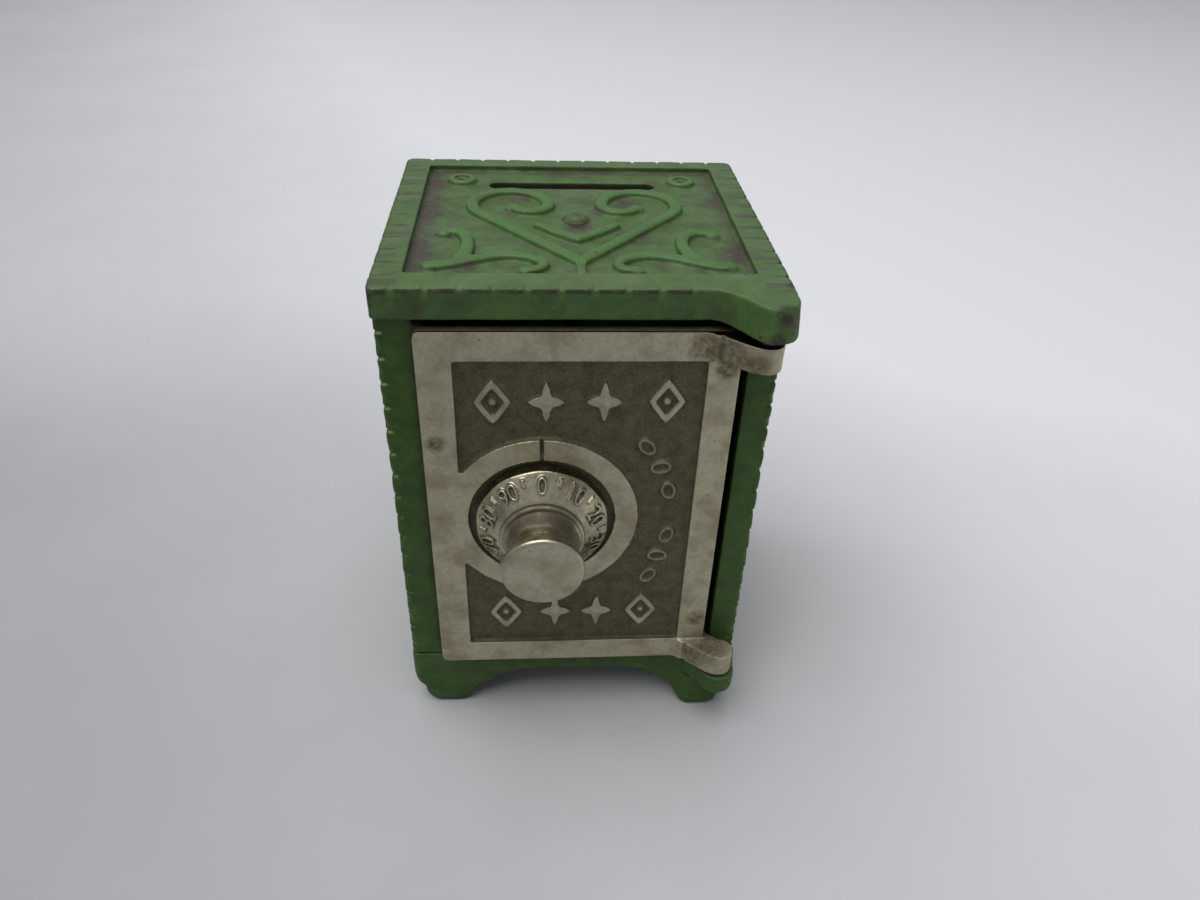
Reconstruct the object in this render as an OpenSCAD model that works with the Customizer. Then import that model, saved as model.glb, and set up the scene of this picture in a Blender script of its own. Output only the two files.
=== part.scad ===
// Cast-iron still bank in the form of a small combination safe.
// Origin: middle of the whole object in plan, on the surface that the feet stand on.
// The front of the safe faces -Y, +X is to the right and +Z is up.
// Every piece is drawn about the middle of the lid and then moved to the origin.

/* [Overall] */
// Height from the feet to the top of the lid
total_h = 101.6; // [92:0.2:112]

/* [Lid] */
// Width of the lid
lid_w = 69.8; // [64:0.2:76]
// Depth of the lid, without the hinge ear
lid_d = 63.6; // [58:0.2:70]
// Height of the lid's rim
lid_h = 5.7; // [5.2:0.1:7.2]
// Thickness of the lid's panel
lid_plate_t = 2.6; // [2.2:0.1:3.2]
// Depth of the panel below the raised border
lid_recess = 1.3; // [1.2:0.1:1.6]
// Thickness of the lid's rim around the hollow underneath
lid_rim_t = 3.4; // [3:0.1:4.5]
// Width of the raised border at the left and right
lid_border_side = 5.4; // [4.8:0.1:6]
// Width of the raised border at the front
lid_border_front = 6.4; // [5.6:0.1:7]
// Width of the raised border at the back
lid_border_back = 4.3; // [3.8:0.1:5]
// Corner radius of the lid and the base in plan
plan_corner_r = 1.6; // [1:0.1:2.4]

/* [Lobed edges] */
// Length of one lobe on the edges of the lid
lid_lobe = 5.8; // [5:0.1:7]
// Length of one lobe on the upright edges of the body
body_lobe = 5.2; // [4.4:0.1:6.4]
// Depth of the notches between the lobes
lobe_bite = 0.45; // [0.3:0.05:0.6]
// Flat left on the crown of every lobe
lobe_flat = 0.25; // [0.15:0.05:0.35]

/* [Relief on the lid] */
// Width of the raised scrolls
relief_w = 2.2; // [1.6:0.1:2.4]
// Height of the raised scrolls above the panel
relief_h = 1; // [0.5:0.1:1.2]
// Radius of the two upper bows of the heart
bow_r = 7.3; // [6.6:0.1:8]
// Radius of the curls that end the heart
curl_r = 3.5; // [3:0.1:3.8]
// Distance from the middle of the lid to the tip of the heart
heart_tip = 19; // [17:0.2:21]

/* [Coin slot] */
// Length of the coin slot
slot_l = 34; // [28:0.5:36]
// Width of the coin slot
slot_w = 3.4; // [2.8:0.1:3.8]
// Distance from the back of the lid to the middle of the slot
slot_from_back = 12.4; // [11.6:0.1:13]

/* [Body] */
// How far the lid stands out past the sides
side_over = 0.3; // [0.1:0.1:0.8]
// How far the lid stands out past the front jambs
front_over = 1.6; // [1.2:0.1:2]
// How far the lid stands out past the back
back_over = 0.8; // [0.4:0.1:1.4]
// Thickness of the side walls
wall_t = 2.7; // [2.4:0.1:3.2]
// Thickness of the front jambs
jamb_t = 2.8; // [2.4:0.1:3.4]
// Width of the left jamb
left_jamb_w = 8.2; // [7:0.1:9]
// Width of the right jamb
right_jamb_w = 5.7; // [5:0.1:6.4]
// Thickness of the back panel
back_t = 2.6; // [2.2:0.1:3.2]
// Depth of the panels sunk in the sides and the back
panel_recess = 0.9; // [0.6:0.1:1.2]
// Width of the raised border round those panels
panel_border = 6; // [5:0.2:7.5]

/* [Base] */
// Height of the base plate's top face
base_top = 15.4; // [14.6:0.1:17]
// Height of the apron round the base
apron_h = 5.5; // [5.2:0.1:6.2]
// Thickness of the base plate
base_plate_t = 3; // [2.6:0.1:3.4]
// Thickness of the rim round the hollow underneath
base_rim_t = 4; // [3.4:0.1:4.6]
// How far the base stands out past the body
base_over = 0.3; // [0.1:0.1:0.6]
// Width of one foot
foot_w = 13; // [12.6:0.1:14]
// Inset of the feet from the left and right edges of the base
foot_inset = 2.2; // [1.6:0.1:2.8]
// Radius at the sides of a foot
foot_r = 4.4; // [3.6:0.1:4.8]
// Radius along the lower front and back edges of the feet
foot_edge_r = 0.8; // [0.4:0.1:1.4]
// Height at which the left and right of the base begin to curve in
shoulder_up = 9; // [8.4:0.1:9.6]
// Radius of the shoulders above the feet
shoulder_r = 4.4; // [3.8:0.1:4.8]
// Width of the step between a foot and the arch beside it
arch_step = 1.8; // [1:0.1:2.4]
// Radius at the ends of the arches between the feet
arch_r = 3.6; // [2.8:0.1:3.8]
// Width of the ridge that locates the walls on the base
ridge_w = 1.6; // [1.2:0.1:2.2]
// Height of that ridge
ridge_h = 1.2; // [0.8:0.1:1.6]

/* [Door] */
// Thickness of the door
door_t = 2.4; // [2.2:0.1:2.8]
// Gap between the door and the jambs behind it
door_gap = 0.1; // [0.1:0.05:0.2]
// How far the door covers the left jamb
door_lap = 1.6; // [1.2:0.1:2.2]
// Gap between the door and the right jamb
door_side_gap = 1.8; // [1.4:0.1:2.2]
// Gap under the door
door_foot_gap = 0.3; // [0.2:0.05:0.4]
// Gap above the door
door_head_gap = 1.6; // [1.2:0.1:2]
// Corner radius of the door
door_corner_r = 1.2; // [0.8:0.1:1.6]
// Width of the door's frame at the left
frame_left = 6.2; // [5.6:0.1:6.8]
// Width of the door's frame at the right
frame_right = 5.7; // [5.2:0.1:6.2]
// Height of the door's frame at the top
frame_top = 5.7; // [5.2:0.1:6.2]
// Height of the door's frame at the bottom, and of the lower arm
frame_bottom = 5.3; // [4.6:0.1:5.6]
// Depth of the field below the frame
field_recess = 1; // [0.8:0.1:1.2]

/* [Dial ring on the door] */
// Distance from the door's left edge to the spindle
dial_from_left = 21.1; // [20:0.1:22.4]
// Distance from the door's lower edge to the spindle
dial_up = 38.7; // [34:0.1:42]
// Outer radius of the raised ring
ring_outer_r = 18.2; // [17.4:0.1:19]
// Inner radius of the raised ring
ring_inner_r = 13.7; // [13.3:0.1:14.4]
// Depth of the round pocket inside the ring
pocket_depth = 1.4; // [1.2:0.1:1.6]
// Width of the index mark at the top of the ring
mark_w = 0.7; // [0.5:0.1:0.9]
// Depth of the index mark
mark_depth = 0.5; // [0.3:0.1:0.7]

/* [Hinge] */
// Distance from the door's right edge to the hinge axis
hinge_reach = 3.1; // [2.8:0.1:3.2]
// Distance from the door's face forward to the hinge axis
hinge_forward = 3.1; // [3:0.1:3.8]
// Radius of the lid's ear
lid_ear_r = 4.6; // [4.2:0.1:4.8]
// Radius of the base's ear
base_ear_r = 3.7; // [3.4:0.1:4.2]
// Radius of the barrels at the ends of the door's arms
barrel_r = 2.8; // [2.6:0.1:3]
// Height of the upper arm
upper_arm_h = 5; // [4.6:0.1:5.4]
// Length of the S-shaped run from the straight edge to the hinge axis
sweep_run = 10.4; // [9.6:0.1:12]
// Radius of the hinge pins
pin_r = 1.4; // [1.2:0.1:1.6]
// Radial running clearance of the pins in the ears
pin_clear = 0.06; // [0.04:0.01:0.1]
// Length of pin held in the door's arm
pin_held = 4; // [3.4:0.1:4.4]
// Length of pin that runs in the ear
pin_run = 3.6; // [3:0.1:4]
// Room in the ear past the end of the pin
pin_room = 0.3; // [0.2:0.1:0.5]

/* [Dial] */
// Radius of the dial
dial_r = 12.4; // [11.6:0.1:12.8]
// Thickness of the dial's rim
dial_rim_t = 2.6; // [2.2:0.1:3]
// Height of the dial's numbered cone
dial_cone_h = 3.4; // [2.8:0.1:4]
// Radius of the dial at the top of the cone
dial_top_r = 7.6; // [7:0.1:7.8]
// Gap between the dial and the floor of its pocket
dial_gap = 0.3; // [0.2:0.05:0.4]

/* [Knob] */
// Radius of the knob's collar
collar_r = 7.9; // [7.4:0.1:8.4]
// Thickness of the collar
collar_t = 1.8; // [1.4:0.1:2.2]
// Radius of the knob's neck
neck_r = 6.1; // [5.4:0.1:6.4]
// Length of the neck
neck_l = 5.9; // [5:0.1:6.6]
// Radius of the knob's face
face_r = 7.5; // [7:0.1:8]
// Thickness of the knob's face
face_t = 2.4; // [2:0.1:2.8]
// Radius along the edges of the knob's face
face_edge_r = 0.9; // [0.5:0.1:1]
// How much wider the neck is at its ends than in the middle
neck_flare = 1.1; // [0.6:0.1:1.4]

/* [Spindle] */
// Radius of the spindle
spindle_r = 1.9; // [1.8:0.05:2.2]
// Radial running clearance of the spindle in the door
spindle_clear = 0.07; // [0.04:0.01:0.1]
// Length of spindle held in the knob
spindle_held = 6.4; // [5:0.1:7]
// Width of the square that carries the lock wheel
square_w = 2.5; // [2.4:0.05:2.7]
// Radius of the threaded tail
tail_r = 1.2; // [1:0.05:1.3]
// Radius of the boss on the back of the door
boss_r = 5.5; // [5:0.1:6]
// Length of that boss
boss_l = 2; // [1.6:0.1:2.4]
// Radius of the dished spring washer
spring_r = 4.7; // [4:0.1:4.9]
// Thickness of the spring washer
spring_t = 0.3; // [0.25:0.05:0.35]
// Room for the spring washer between boss and lock wheel
spring_room = 0.5; // [0.45:0.05:0.6]
// Thickness of the washer behind the lock wheel
tail_washer_t = 0.8; // [0.6:0.1:1]
// Radius of that washer
tail_washer_r = 3.6; // [3.2:0.1:4.2]
// Width across the flats of the spindle nut
tail_nut_w = 6.4; // [5.6:0.1:7]
// Thickness of the spindle nut
tail_nut_t = 2.4; // [2:0.1:2.8]
// Length of thread past the nut
tail_past = 0.7; // [0.4:0.1:1.2]

/* [Lock] */
// Radius of the lock wheel
wheel_r = 15; // [14.4:0.1:15.6]
// Thickness of the lock wheel
wheel_t = 2; // [1.6:0.1:2.4]
// Radius of the lock wheel's hub
hub_r = 5; // [4.4:0.1:5.6]
// Length of the hub
hub_l = 4; // [3.6:0.1:4.6]
// Depth of the notch in the lock wheel
notch_depth = 4.2; // [4:0.1:5]
// Height of the lug that the lock wheel turns behind
lug_h = 3.2; // [2.8:0.1:3.8]
// Room above and below the lug in the notch
notch_clear = 0.5; // [0.4:0.1:0.8]
// Length of wheel rim that lies behind the lug
lug_hold = 2.5; // [2.2:0.1:2.8]
// Gap between the lug and the lock wheel
lug_gap = 0.6; // [0.4:0.05:0.8]
// Thickness of the lug
lug_t = 2.2; // [1.8:0.1:2.2]
// How far the lug lies behind the jamb's front
lug_set = 0.1; // [0.1:0.1:0.3]

/* [Tie rods] */
// Distance of the centre rod behind the middle of the lid
centre_rod_back = 1; // [0:0.1:2]
// Radius of the centre rod
centre_rod_r = 2; // [1.8:0.1:2.2]
// Radius of the rod's riveted head on the lid
head_r = 2.7; // [2.5:0.1:3.2]
// Height of that head
head_h = 1.1; // [0.9:0.1:1.2]
// Radius of the washer under the base
rod_washer_r = 4.4; // [4:0.1:5]
// Thickness of that washer
rod_washer_t = 0.8; // [0.6:0.1:1]
// Width across the flats of the nut under the base
rod_nut_w = 7; // [6.4:0.1:8]
// Thickness of that nut
rod_nut_t = 3; // [2.6:0.1:3.4]
// Length of thread past that nut
rod_past = 0.8; // [0.4:0.1:1.2]
// Radius of the two rear rods
rear_rod_r = 1.6; // [1.4:0.1:1.8]
// Distance from the side of the lid to a rear rod
rear_rod_side = 12.3; // [11.6:0.1:13]
// Distance from the back of the lid to a rear rod
rear_rod_back = 10.8; // [10:0.1:11.6]
// Length of rear rod screwed into a rear foot
rear_rod_deep = 8; // [6:0.2:10]
// Outer radius of the raised rings round the rear rods
rod_ring_r = 2.95; // [2.7:0.05:3.3]
// Radius of the riveted end of a rear rod
rivet_r = 2.1; // [1.9:0.05:2.3]
// Height of the taper below the riveted end
rivet_taper = 0.8; // [0.6:0.1:1]
// Depth of the riveted end below the top of its ring
rivet_sunk = 0.5; // [0.3:0.05:0.6]

/* [Hidden] */
$fn = 48;
green = "#4f7048";
nickel = "#9a9284";
steel = "#6f6a62";
past = 1; // how far a cut runs past a face
lap = 0.3; // how far added metal runs into the metal that carries it
fit = 0.15; // clearance between the ridge and the walls
join = 0.1; // clearance of the back panel in its rabbet
slack = 0.05; // gap on each side of the spring washer
scroll_end_r = 0.62 * relief_w; // round ends of the scrolls

lid_under = total_h - lid_h;
panel_z = total_h - lid_recess;
lid_front = -lid_d / 2;
lid_back = lid_d / 2;
body_w = lid_w - 2 * side_over;
body_front = lid_front + front_over;
body_back = lid_back - back_over;
body_h = lid_under - base_top;
base_w = body_w + 2 * base_over;
base_front = body_front - base_over;
base_back = body_back + base_over;
base_d = base_back - base_front;
base_mid = (base_back + base_front) / 2;
apron_z = base_top - apron_h;

door_back = body_front - door_gap;
door_front = door_back - door_t;
door_left = -body_w / 2 + left_jamb_w - door_lap;
door_right = body_w / 2 - right_jamb_w - door_side_gap;
door_w = door_right - door_left;
door_bottom = base_top + door_foot_gap;
door_top = lid_under - door_head_gap;
door_h = door_top - door_bottom;
hinge_x = door_right + hinge_reach;
hinge_y = door_front - hinge_forward;
dial_x = door_left + dial_from_left;
dial_z = door_bottom + dial_up;

// Distances forward of the middle of the safe, along the spindle
face_f = -door_front;
dial_back_f = face_f - pocket_depth + dial_gap;
dial_rim_f = dial_back_f + dial_rim_t;
knob_f = dial_rim_f + dial_cone_h;
neck_f = knob_f + collar_t;
knob_face_f = neck_f + neck_l;
knob_end_f = knob_face_f + face_t;
boss_f = -door_back - boss_l;
hub_f = boss_f - spring_room;
tail_f = hub_f - hub_l;
nut_f = tail_f - tail_washer_t;
spindle_end_f = nut_f - tail_nut_t - tail_past;
lug_front_f = -body_front - lug_set;
lug_back_f = lug_front_f - lug_t;
wheel_f = lug_back_f - lug_gap;
lug_tip_x = dial_x - wheel_r + lug_hold;

centre_rod_y = centre_rod_back;
rear_rod_x = lid_w / 2 - rear_rod_side;
rear_rod_y = lid_back - rear_rod_back;
rod_washer_z = base_top - base_plate_t - rod_washer_t;
rod_nut_z = rod_washer_z - rod_nut_t;
rivet_z = panel_z + relief_h - rivet_sunk;

// Rightmost reach of the lid with its ear
lid_right = max(lid_w / 2, hinge_x + lid_ear_r);
// From the middle of the lid to the middle of the whole object in plan
to_middle = [(lid_w / 2 - lid_right) / 2, (knob_end_f - lid_back) / 2, 0];

// Plan shapes

// Rectangle with round corners
module round_rect(w, d, r) {
    square([w - 2 * r, d], center = true);
    square([w, d - 2 * r], center = true);
    for (x = [-1, 1], y = [-1, 1])
        translate([x * (w / 2 - r), y * (d / 2 - r)])
            circle(r);
}

// Points of an S-shaped sweep from a straight edge to a point beside the hinge
function sweep_points(x0, y0, x1, y1) =
    [for (i = [0:12])
        let (t = i / 12)
        [x0 + (x1 - x0) * t, y0 + (y1 - y0) * (1 - cos(180 * t)) / 2]];

// Ear of radius r that reaches forward from an edge and carries a hinge pin
module ear_plan(edge_y, side_x, r) {
    translate([hinge_x, hinge_y])
        circle(r);
    polygon(concat(
        sweep_points(hinge_x - sweep_run, edge_y, hinge_x, hinge_y - r),
        [[hinge_x, hinge_y],
         [hinge_x + r * cos(10), hinge_y + r * sin(10)],
         [side_x, edge_y],
         [side_x - plan_corner_r, edge_y + 2 * plan_corner_r],
         [hinge_x - sweep_run, edge_y + 2 * plan_corner_r]]));
}

// Arm that reaches forward from the door and carries the barrel
module arm_plan() {
    translate([hinge_x, hinge_y])
        circle(barrel_r);
    polygon(concat(
        sweep_points(hinge_x - sweep_run, door_front, hinge_x, hinge_y - barrel_r),
        [[hinge_x, hinge_y + barrel_r],
         [door_right, door_back],
         [hinge_x - sweep_run, door_back]]));
}

// Cutters and other helpers

// Leaves a row of round lobes on an edge: X runs along it, Y out of it
module lobe_cutter(length, pitch) {
    count = round(length / pitch);
    step = length / count;
    curve = [for (i = [0:count - 1], t = [0:0.25:0.75])
        [(i + t) * step - length / 2, -lobe_flat - lobe_bite * (1 - sin(180 * t))]];
    low = -lobe_flat - lobe_bite;
    linear_extrude(height = 12, center = true)
        polygon(concat(
            [[-length / 2 - past, low]],
            curve,
            [[length / 2 + past, low],
             [length / 2 + past, 3],
             [-length / 2 - past, 3]]));
}

// Shape drawn as seen from the front, between two planes across the depth
module upright(y0, y1) {
    translate([0, y1, 0])
        rotate([90, 0, 0])
            linear_extrude(height = y1 - y0)
                children();
}

// Shape drawn as seen from the right, between two planes across the width
module sideways(x0, x1) {
    translate([x0, 0, 0])
        rotate([90, 0, 90])
            linear_extrude(height = x1 - x0)
                children();
}

// Places a part on the spindle, with its own Z running forward
module on_spindle() {
    translate([dial_x, 0, dial_z])
        rotate([90, 0, 0])
            children();
}

module square_nut(w, t) {
    translate([-w / 2, -w / 2, 0])
        cube([w, w, t]);
}

// Relief on the lid

function unit(v) = v / norm(v);

function heading(p, i) =
    unit(p[min(i + 1, len(p) - 1)] - p[max(i - 1, 0)]);

// Band of the relief's width along a row of points
module band(p) {
    half = relief_w / 2;
    left = [for (i = [0:len(p) - 1])
        let (h = heading(p, i))
        p[i] + half * [-h[1], h[0]]];
    right = [for (i = [len(p) - 1:-1:0])
        let (h = heading(p, i))
        p[i] - half * [-h[1], h[0]]];
    polygon(concat(left, right));
}

function arc_points(c, r, a0, a1, n) =
    [for (i = [0:n])
        let (a = a0 + (a1 - a0) * i / n)
        c + r * [cos(a), sin(a)]];

function bow(p0, p1, p2, p3, n) =
    [for (i = [0:n])
        let (t = i / n)
        pow(1 - t, 3) * p0 + 3 * pow(1 - t, 2) * t * p1
            + 3 * (1 - t) * t * t * p2 + pow(t, 3) * p3];

// One half of the heart: curl, bow and straight run to the tip
module heart_half() {
    bow_c = [bow_r + 5.15, bow_r - 0.4];
    tip = [0, -heart_tip];
    away = norm(bow_c - tip);
    turn = atan2(bow_c[1] - tip[1], bow_c[0] - tip[0]) - asin(bow_r / away);
    curl_c = [bow_c[0] - bow_r + curl_r, bow_c[1]];
    band(concat(
        arc_points(curl_c, curl_r, 340, 188, 9),
        arc_points(bow_c, bow_r, 180, turn - 90, 16),
        [tip]));
    translate(curl_c + curl_r * [cos(340), sin(340)])
        circle(scroll_end_r);
}

// Scroll in a front corner of the panel, with its upright hook
module corner_scroll() {
    foot = [25.4, -21.2];
    lean = [8, -18.4];
    hook = [24.9, -8.6];
    band(concat(
        bow(foot, [20.5, -21.4], [14.5, -13.6], lean, 12),
        bow([6.9, -19.4], [5.6, -20.8], [6.4, -22.8], [9.2, -22.9], 5)));
    band(bow([19.9, -18.6], [17, -13.5], [19.3, -4.4], hook, 12));
    for (p = [foot, [9.2, -22.9], hook])
        translate(p)
            circle(scroll_end_r);
}

// Chevron inside the heart
module chevron() {
    reach = 7;
    low = -9.7;
    high = -3.6;
    half = relief_w / 2 / cos(atan2(high - low, reach));
    polygon([[-reach, high + half], [0, low + half], [reach, high + half],
        [reach, high - half], [0, low - half], [-reach, high - half]]);
}

module lid_relief() {
    linear_extrude(height = relief_h + lap) {
        for (side = [0, 1])
            mirror([side, 0, 0]) {
                heart_half();
                corner_scroll();
            }
        chevron();
        translate([-relief_w / 2, lid_front + lid_border_front - lap])
            square([relief_w, -heart_tip - lid_front - lid_border_front + relief_w]);
    }
}

// Castings

module lid() {
    ear_start = hinge_x - sweep_run;
    color(green) translate(to_middle)
        difference() {
            union() {
                difference() {
                    translate([0, 0, lid_under])
                        linear_extrude(height = lid_h) {
                            round_rect(lid_w, lid_d, plan_corner_r);
                            ear_plan(lid_front, lid_w / 2, lid_ear_r);
                        }
                    // Panel sunk in the top
                    translate([-lid_w / 2 + lid_border_side, lid_front + lid_border_front, panel_z])
                        cube([lid_w - 2 * lid_border_side,
                            lid_d - lid_border_front - lid_border_back, lid_recess + past]);
                }
                translate([0, 0, panel_z - lap])
                    lid_relief();
                for (side = [-1, 1])
                    translate([side * rear_rod_x, rear_rod_y, panel_z - lap])
                        cylinder(r = rod_ring_r, h = relief_h + lap);
            }
            // Hollow underneath
            translate([0, 0, lid_under - past])
                linear_extrude(height = lid_h - lid_recess - lid_plate_t + past)
                    square([lid_w - 2 * lid_rim_t, lid_d - 2 * lid_rim_t], center = true);
            // Coin slot
            translate([0, lid_back - slot_from_back, lid_under])
                linear_extrude(height = lid_h + past) {
                    square([slot_l - slot_w, slot_w], center = true);
                    for (side = [-1, 1])
                        translate([side * (slot_l - slot_w) / 2, 0])
                            circle(slot_w / 2);
                }
            // Holes for the tie rods
            translate([0, centre_rod_y, lid_under])
                cylinder(r = centre_rod_r, h = lid_h);
            for (side = [-1, 1])
                translate([side * rear_rod_x, rear_rod_y, 0]) {
                    translate([0, 0, lid_under])
                        cylinder(r = rear_rod_r, h = lid_h);
                    translate([0, 0, rivet_z - rivet_taper])
                        cylinder(r1 = rear_rod_r, r2 = rivet_r, h = rivet_taper);
                    translate([0, 0, rivet_z])
                        cylinder(r = rivet_r, h = rivet_sunk + past);
                }
            // Blind bore of the hinge ear
            translate([hinge_x, hinge_y, lid_under - past])
                cylinder(r = pin_r + pin_clear, h = pin_run + pin_room + past);
            // Lobed top edges
            translate([(ear_start - lid_w / 2) / 2, lid_front, total_h])
                rotate([135, 0, 0])
                    lobe_cutter(ear_start + lid_w / 2, lid_lobe);
            translate([0, lid_back, total_h])
                rotate([45, 0, 0])
                    lobe_cutter(lid_w, lid_lobe);
            for (side = [-1, 1])
                translate([side * lid_w / 2, 0, total_h])
                    rotate([45, 0, -90 * side])
                        lobe_cutter(lid_d, lid_lobe);
        }
}

// Outline of the base seen from the front, without its arch
module base_front_outline() {
    half = base_w / 2;
    out = half - foot_inset;
    translate([-half, shoulder_up])
        square([2 * half, base_top - shoulder_up]);
    translate([-half + shoulder_r, foot_r])
        square([2 * (half - shoulder_r), shoulder_up - foot_r + lap]);
    translate([-out + foot_r, 0])
        square([2 * (out - foot_r), foot_r + lap]);
    for (side = [-1, 1]) {
        translate([side * (half - shoulder_r), shoulder_up])
            circle(shoulder_r);
        translate([side * (out - foot_r), foot_r])
            circle(foot_r);
    }
}

// Outline of the base seen from the right, without its arch
module base_side_outline() {
    half = base_d / 2;
    translate([-half, foot_edge_r])
        square([base_d, base_top - foot_edge_r]);
    translate([-half + foot_edge_r, 0])
        square([base_d - 2 * foot_edge_r, base_top]);
    for (side = [-1, 1])
        translate([side * (half - foot_edge_r), foot_edge_r])
            circle(foot_edge_r);
}

// Arch between two feet whose inner sides are 2 * half apart
module arch(half) {
    step_z = apron_z - arch_r;
    inner = half - arch_step;
    translate([-half, -past])
        square([2 * half, step_z + past]);
    translate([-inner, step_z - lap])
        square([2 * inner, lap]);
    translate([-inner + arch_r, step_z - lap])
        square([2 * (inner - arch_r), arch_r + lap]);
    for (side = [-1, 1]) {
        translate([side * (inner - arch_r), step_z])
            circle(arch_r);
        // Round inner side of the foot
        difference() {
            translate([side * half + (side - 1) * foot_r / 2, -past])
                square([foot_r, foot_r + past]);
            translate([side * (half + foot_r), foot_r])
                circle(foot_r);
        }
    }
}

module base() {
    foot_x = base_w / 2 - foot_inset - foot_w;
    foot_y = base_d / 2 - foot_w;
    hollow_x = base_w / 2 - shoulder_r;
    hollow_y = base_d / 2 - base_rim_t;
    corner_x = foot_x - arch_step;
    corner_y = foot_y - arch_step;
    color(green) translate(to_middle)
        difference() {
            union() {
                difference() {
                    intersection() {
                        upright(base_front, base_back)
                            base_front_outline();
                        translate([0, base_mid, 0])
                            sideways(-base_w / 2, base_w / 2)
                                base_side_outline();
                        translate([0, base_mid, 0])
                            linear_extrude(height = base_top)
                                round_rect(base_w, base_d, plan_corner_r);
                    }
                    upright(base_front - past, base_back + past)
                        arch(foot_x);
                    translate([0, base_mid, 0])
                        sideways(-base_w / 2 - past, base_w / 2 + past)
                            arch(foot_y);
                    // Cross-shaped hollow underneath, between the four solid feet
                    translate([0, base_mid, -past])
                        linear_extrude(height = base_top - base_plate_t + past) {
                            square(2 * [hollow_x, corner_y], center = true);
                            square(2 * [corner_x, hollow_y], center = true);
                        }
                }
                translate([0, 0, apron_z])
                    linear_extrude(height = apron_h)
                        ear_plan(base_front, base_w / 2, base_ear_r);
                // Ridge that locates the sides and the back
                translate([0, 0, base_top - lap])
                    linear_extrude(height = ridge_h + lap)
                        ridge_plan();
            }
            translate([0, centre_rod_y, -past])
                cylinder(r = centre_rod_r, h = base_top + 2 * past);
            for (side = [-1, 1])
                translate([side * rear_rod_x, rear_rod_y, base_top - rear_rod_deep])
                    cylinder(r = rear_rod_r, h = rear_rod_deep + past);
            translate([hinge_x, hinge_y, base_top - pin_run - pin_room])
                cylinder(r = pin_r + pin_clear, h = pin_run + pin_room + past);
        }
}

// U-shaped ridge inside the two sides and the back
module ridge_plan() {
    inner = body_w / 2 - wall_t - fit;
    rear = body_back - back_t - fit;
    front = body_front + jamb_t + fit;
    difference() {
        translate([-inner, front])
            square([2 * inner, rear - front]);
        translate([-inner + ridge_w, front - past])
            square([2 * (inner - ridge_w), rear - front - ridge_w + past]);
    }
}

// Side casting, drawn for the right; jamb_w is the width of its front jamb
module side_casting(jamb_w) {
    outer = body_w / 2;
    inner = outer - wall_t;
    rabbet = wall_t / 2;
    difference() {
        union() {
            translate([inner, body_front, base_top])
                cube([wall_t, body_back - body_front, body_h]);
            translate([outer - jamb_w, body_front, base_top])
                cube([jamb_w, jamb_t, body_h]);
        }
        // Panel sunk in the outer face
        translate([outer - panel_recess, body_front + panel_border, base_top + panel_border])
            cube([panel_recess + past, body_back - body_front - 2 * panel_border,
                body_h - 2 * panel_border]);
        // Rabbet for the back panel
        translate([inner - past, body_back - back_t, base_top - past])
            cube([rabbet + past, back_t + past, body_h + 2 * past]);
        // Lobed upright edges
        translate([outer, body_front, base_top + body_h / 2])
            rotate([0, 0, -135])
                rotate([0, -90, 0])
                    lobe_cutter(body_h, body_lobe);
        translate([outer, body_back, base_top + body_h / 2])
            rotate([0, 0, -45])
                rotate([0, -90, 0])
                    lobe_cutter(body_h, body_lobe);
    }
}

module left_side() {
    jamb_x = -body_w / 2 + left_jamb_w;
    color(green) translate(to_middle) {
        mirror([1, 0, 0])
            side_casting(left_jamb_w);
        // Lug that holds the lock wheel
        translate([jamb_x - lap, -lug_front_f, dial_z - lug_h / 2])
            cube([lug_tip_x - jamb_x + lap, lug_front_f - lug_back_f, lug_h]);
    }
}

module right_side() {
    color(green) translate(to_middle)
        side_casting(right_jamb_w);
}

module back_panel() {
    w = body_w - 2 * (wall_t - wall_t / 2) - 2 * join;
    color(green) translate(to_middle)
        difference() {
            translate([-w / 2, body_back - back_t, base_top])
                cube([w, back_t, body_h]);
            translate([-w / 2 + panel_border, body_back - panel_recess, base_top + panel_border])
                cube([w - 2 * panel_border, panel_recess + past, body_h - 2 * panel_border]);
        }
}

module door() {
    field_w = door_w - frame_left - frame_right;
    field_h = door_h - frame_top - frame_bottom;
    color(nickel) translate(to_middle)
        difference() {
            union() {
                upright(door_front, door_back)
                    translate([(door_left + door_right) / 2, (door_bottom + door_top) / 2])
                        round_rect(door_w, door_h, door_corner_r);
                translate([0, 0, door_bottom])
                    linear_extrude(height = frame_bottom)
                        arm_plan();
                translate([0, 0, door_top - upper_arm_h])
                    linear_extrude(height = upper_arm_h)
                        arm_plan();
                on_spindle()
                    translate([0, 0, boss_f])
                        cylinder(r = boss_r, h = boss_l + lap);
            }
            // Field sunk inside the frame, round the ring
            upright(door_front - past, door_front + field_recess)
                difference() {
                    translate([door_left + frame_left, door_bottom + frame_bottom])
                        square([field_w, field_h]);
                    translate([dial_x, dial_z])
                        circle(ring_outer_r);
                }
            // Pocket of the dial
            on_spindle()
                translate([0, 0, face_f - pocket_depth])
                    cylinder(r = ring_inner_r, h = pocket_depth + past);
            // Index mark on the ring
            on_spindle()
                translate([-mark_w / 2, ring_inner_r - past, face_f - mark_depth])
                    cube([mark_w, ring_outer_r - ring_inner_r + 2 * past, mark_depth + past]);
            on_spindle()
                translate([0, 0, boss_f - past])
                    cylinder(r = spindle_r + spindle_clear, h = boss_l + door_t + 2 * past);
            translate([hinge_x, hinge_y, door_top - pin_held])
                cylinder(r = pin_r, h = pin_held + past);
            translate([hinge_x, hinge_y, door_bottom - past])
                cylinder(r = pin_r, h = pin_held + past);
        }
}

// Hinge pins

module upper_hinge_pin() {
    color(steel) translate(to_middle)
        translate([hinge_x, hinge_y, door_top - pin_held])
            cylinder(r = pin_r, h = pin_held + door_head_gap + pin_run);
}

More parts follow.
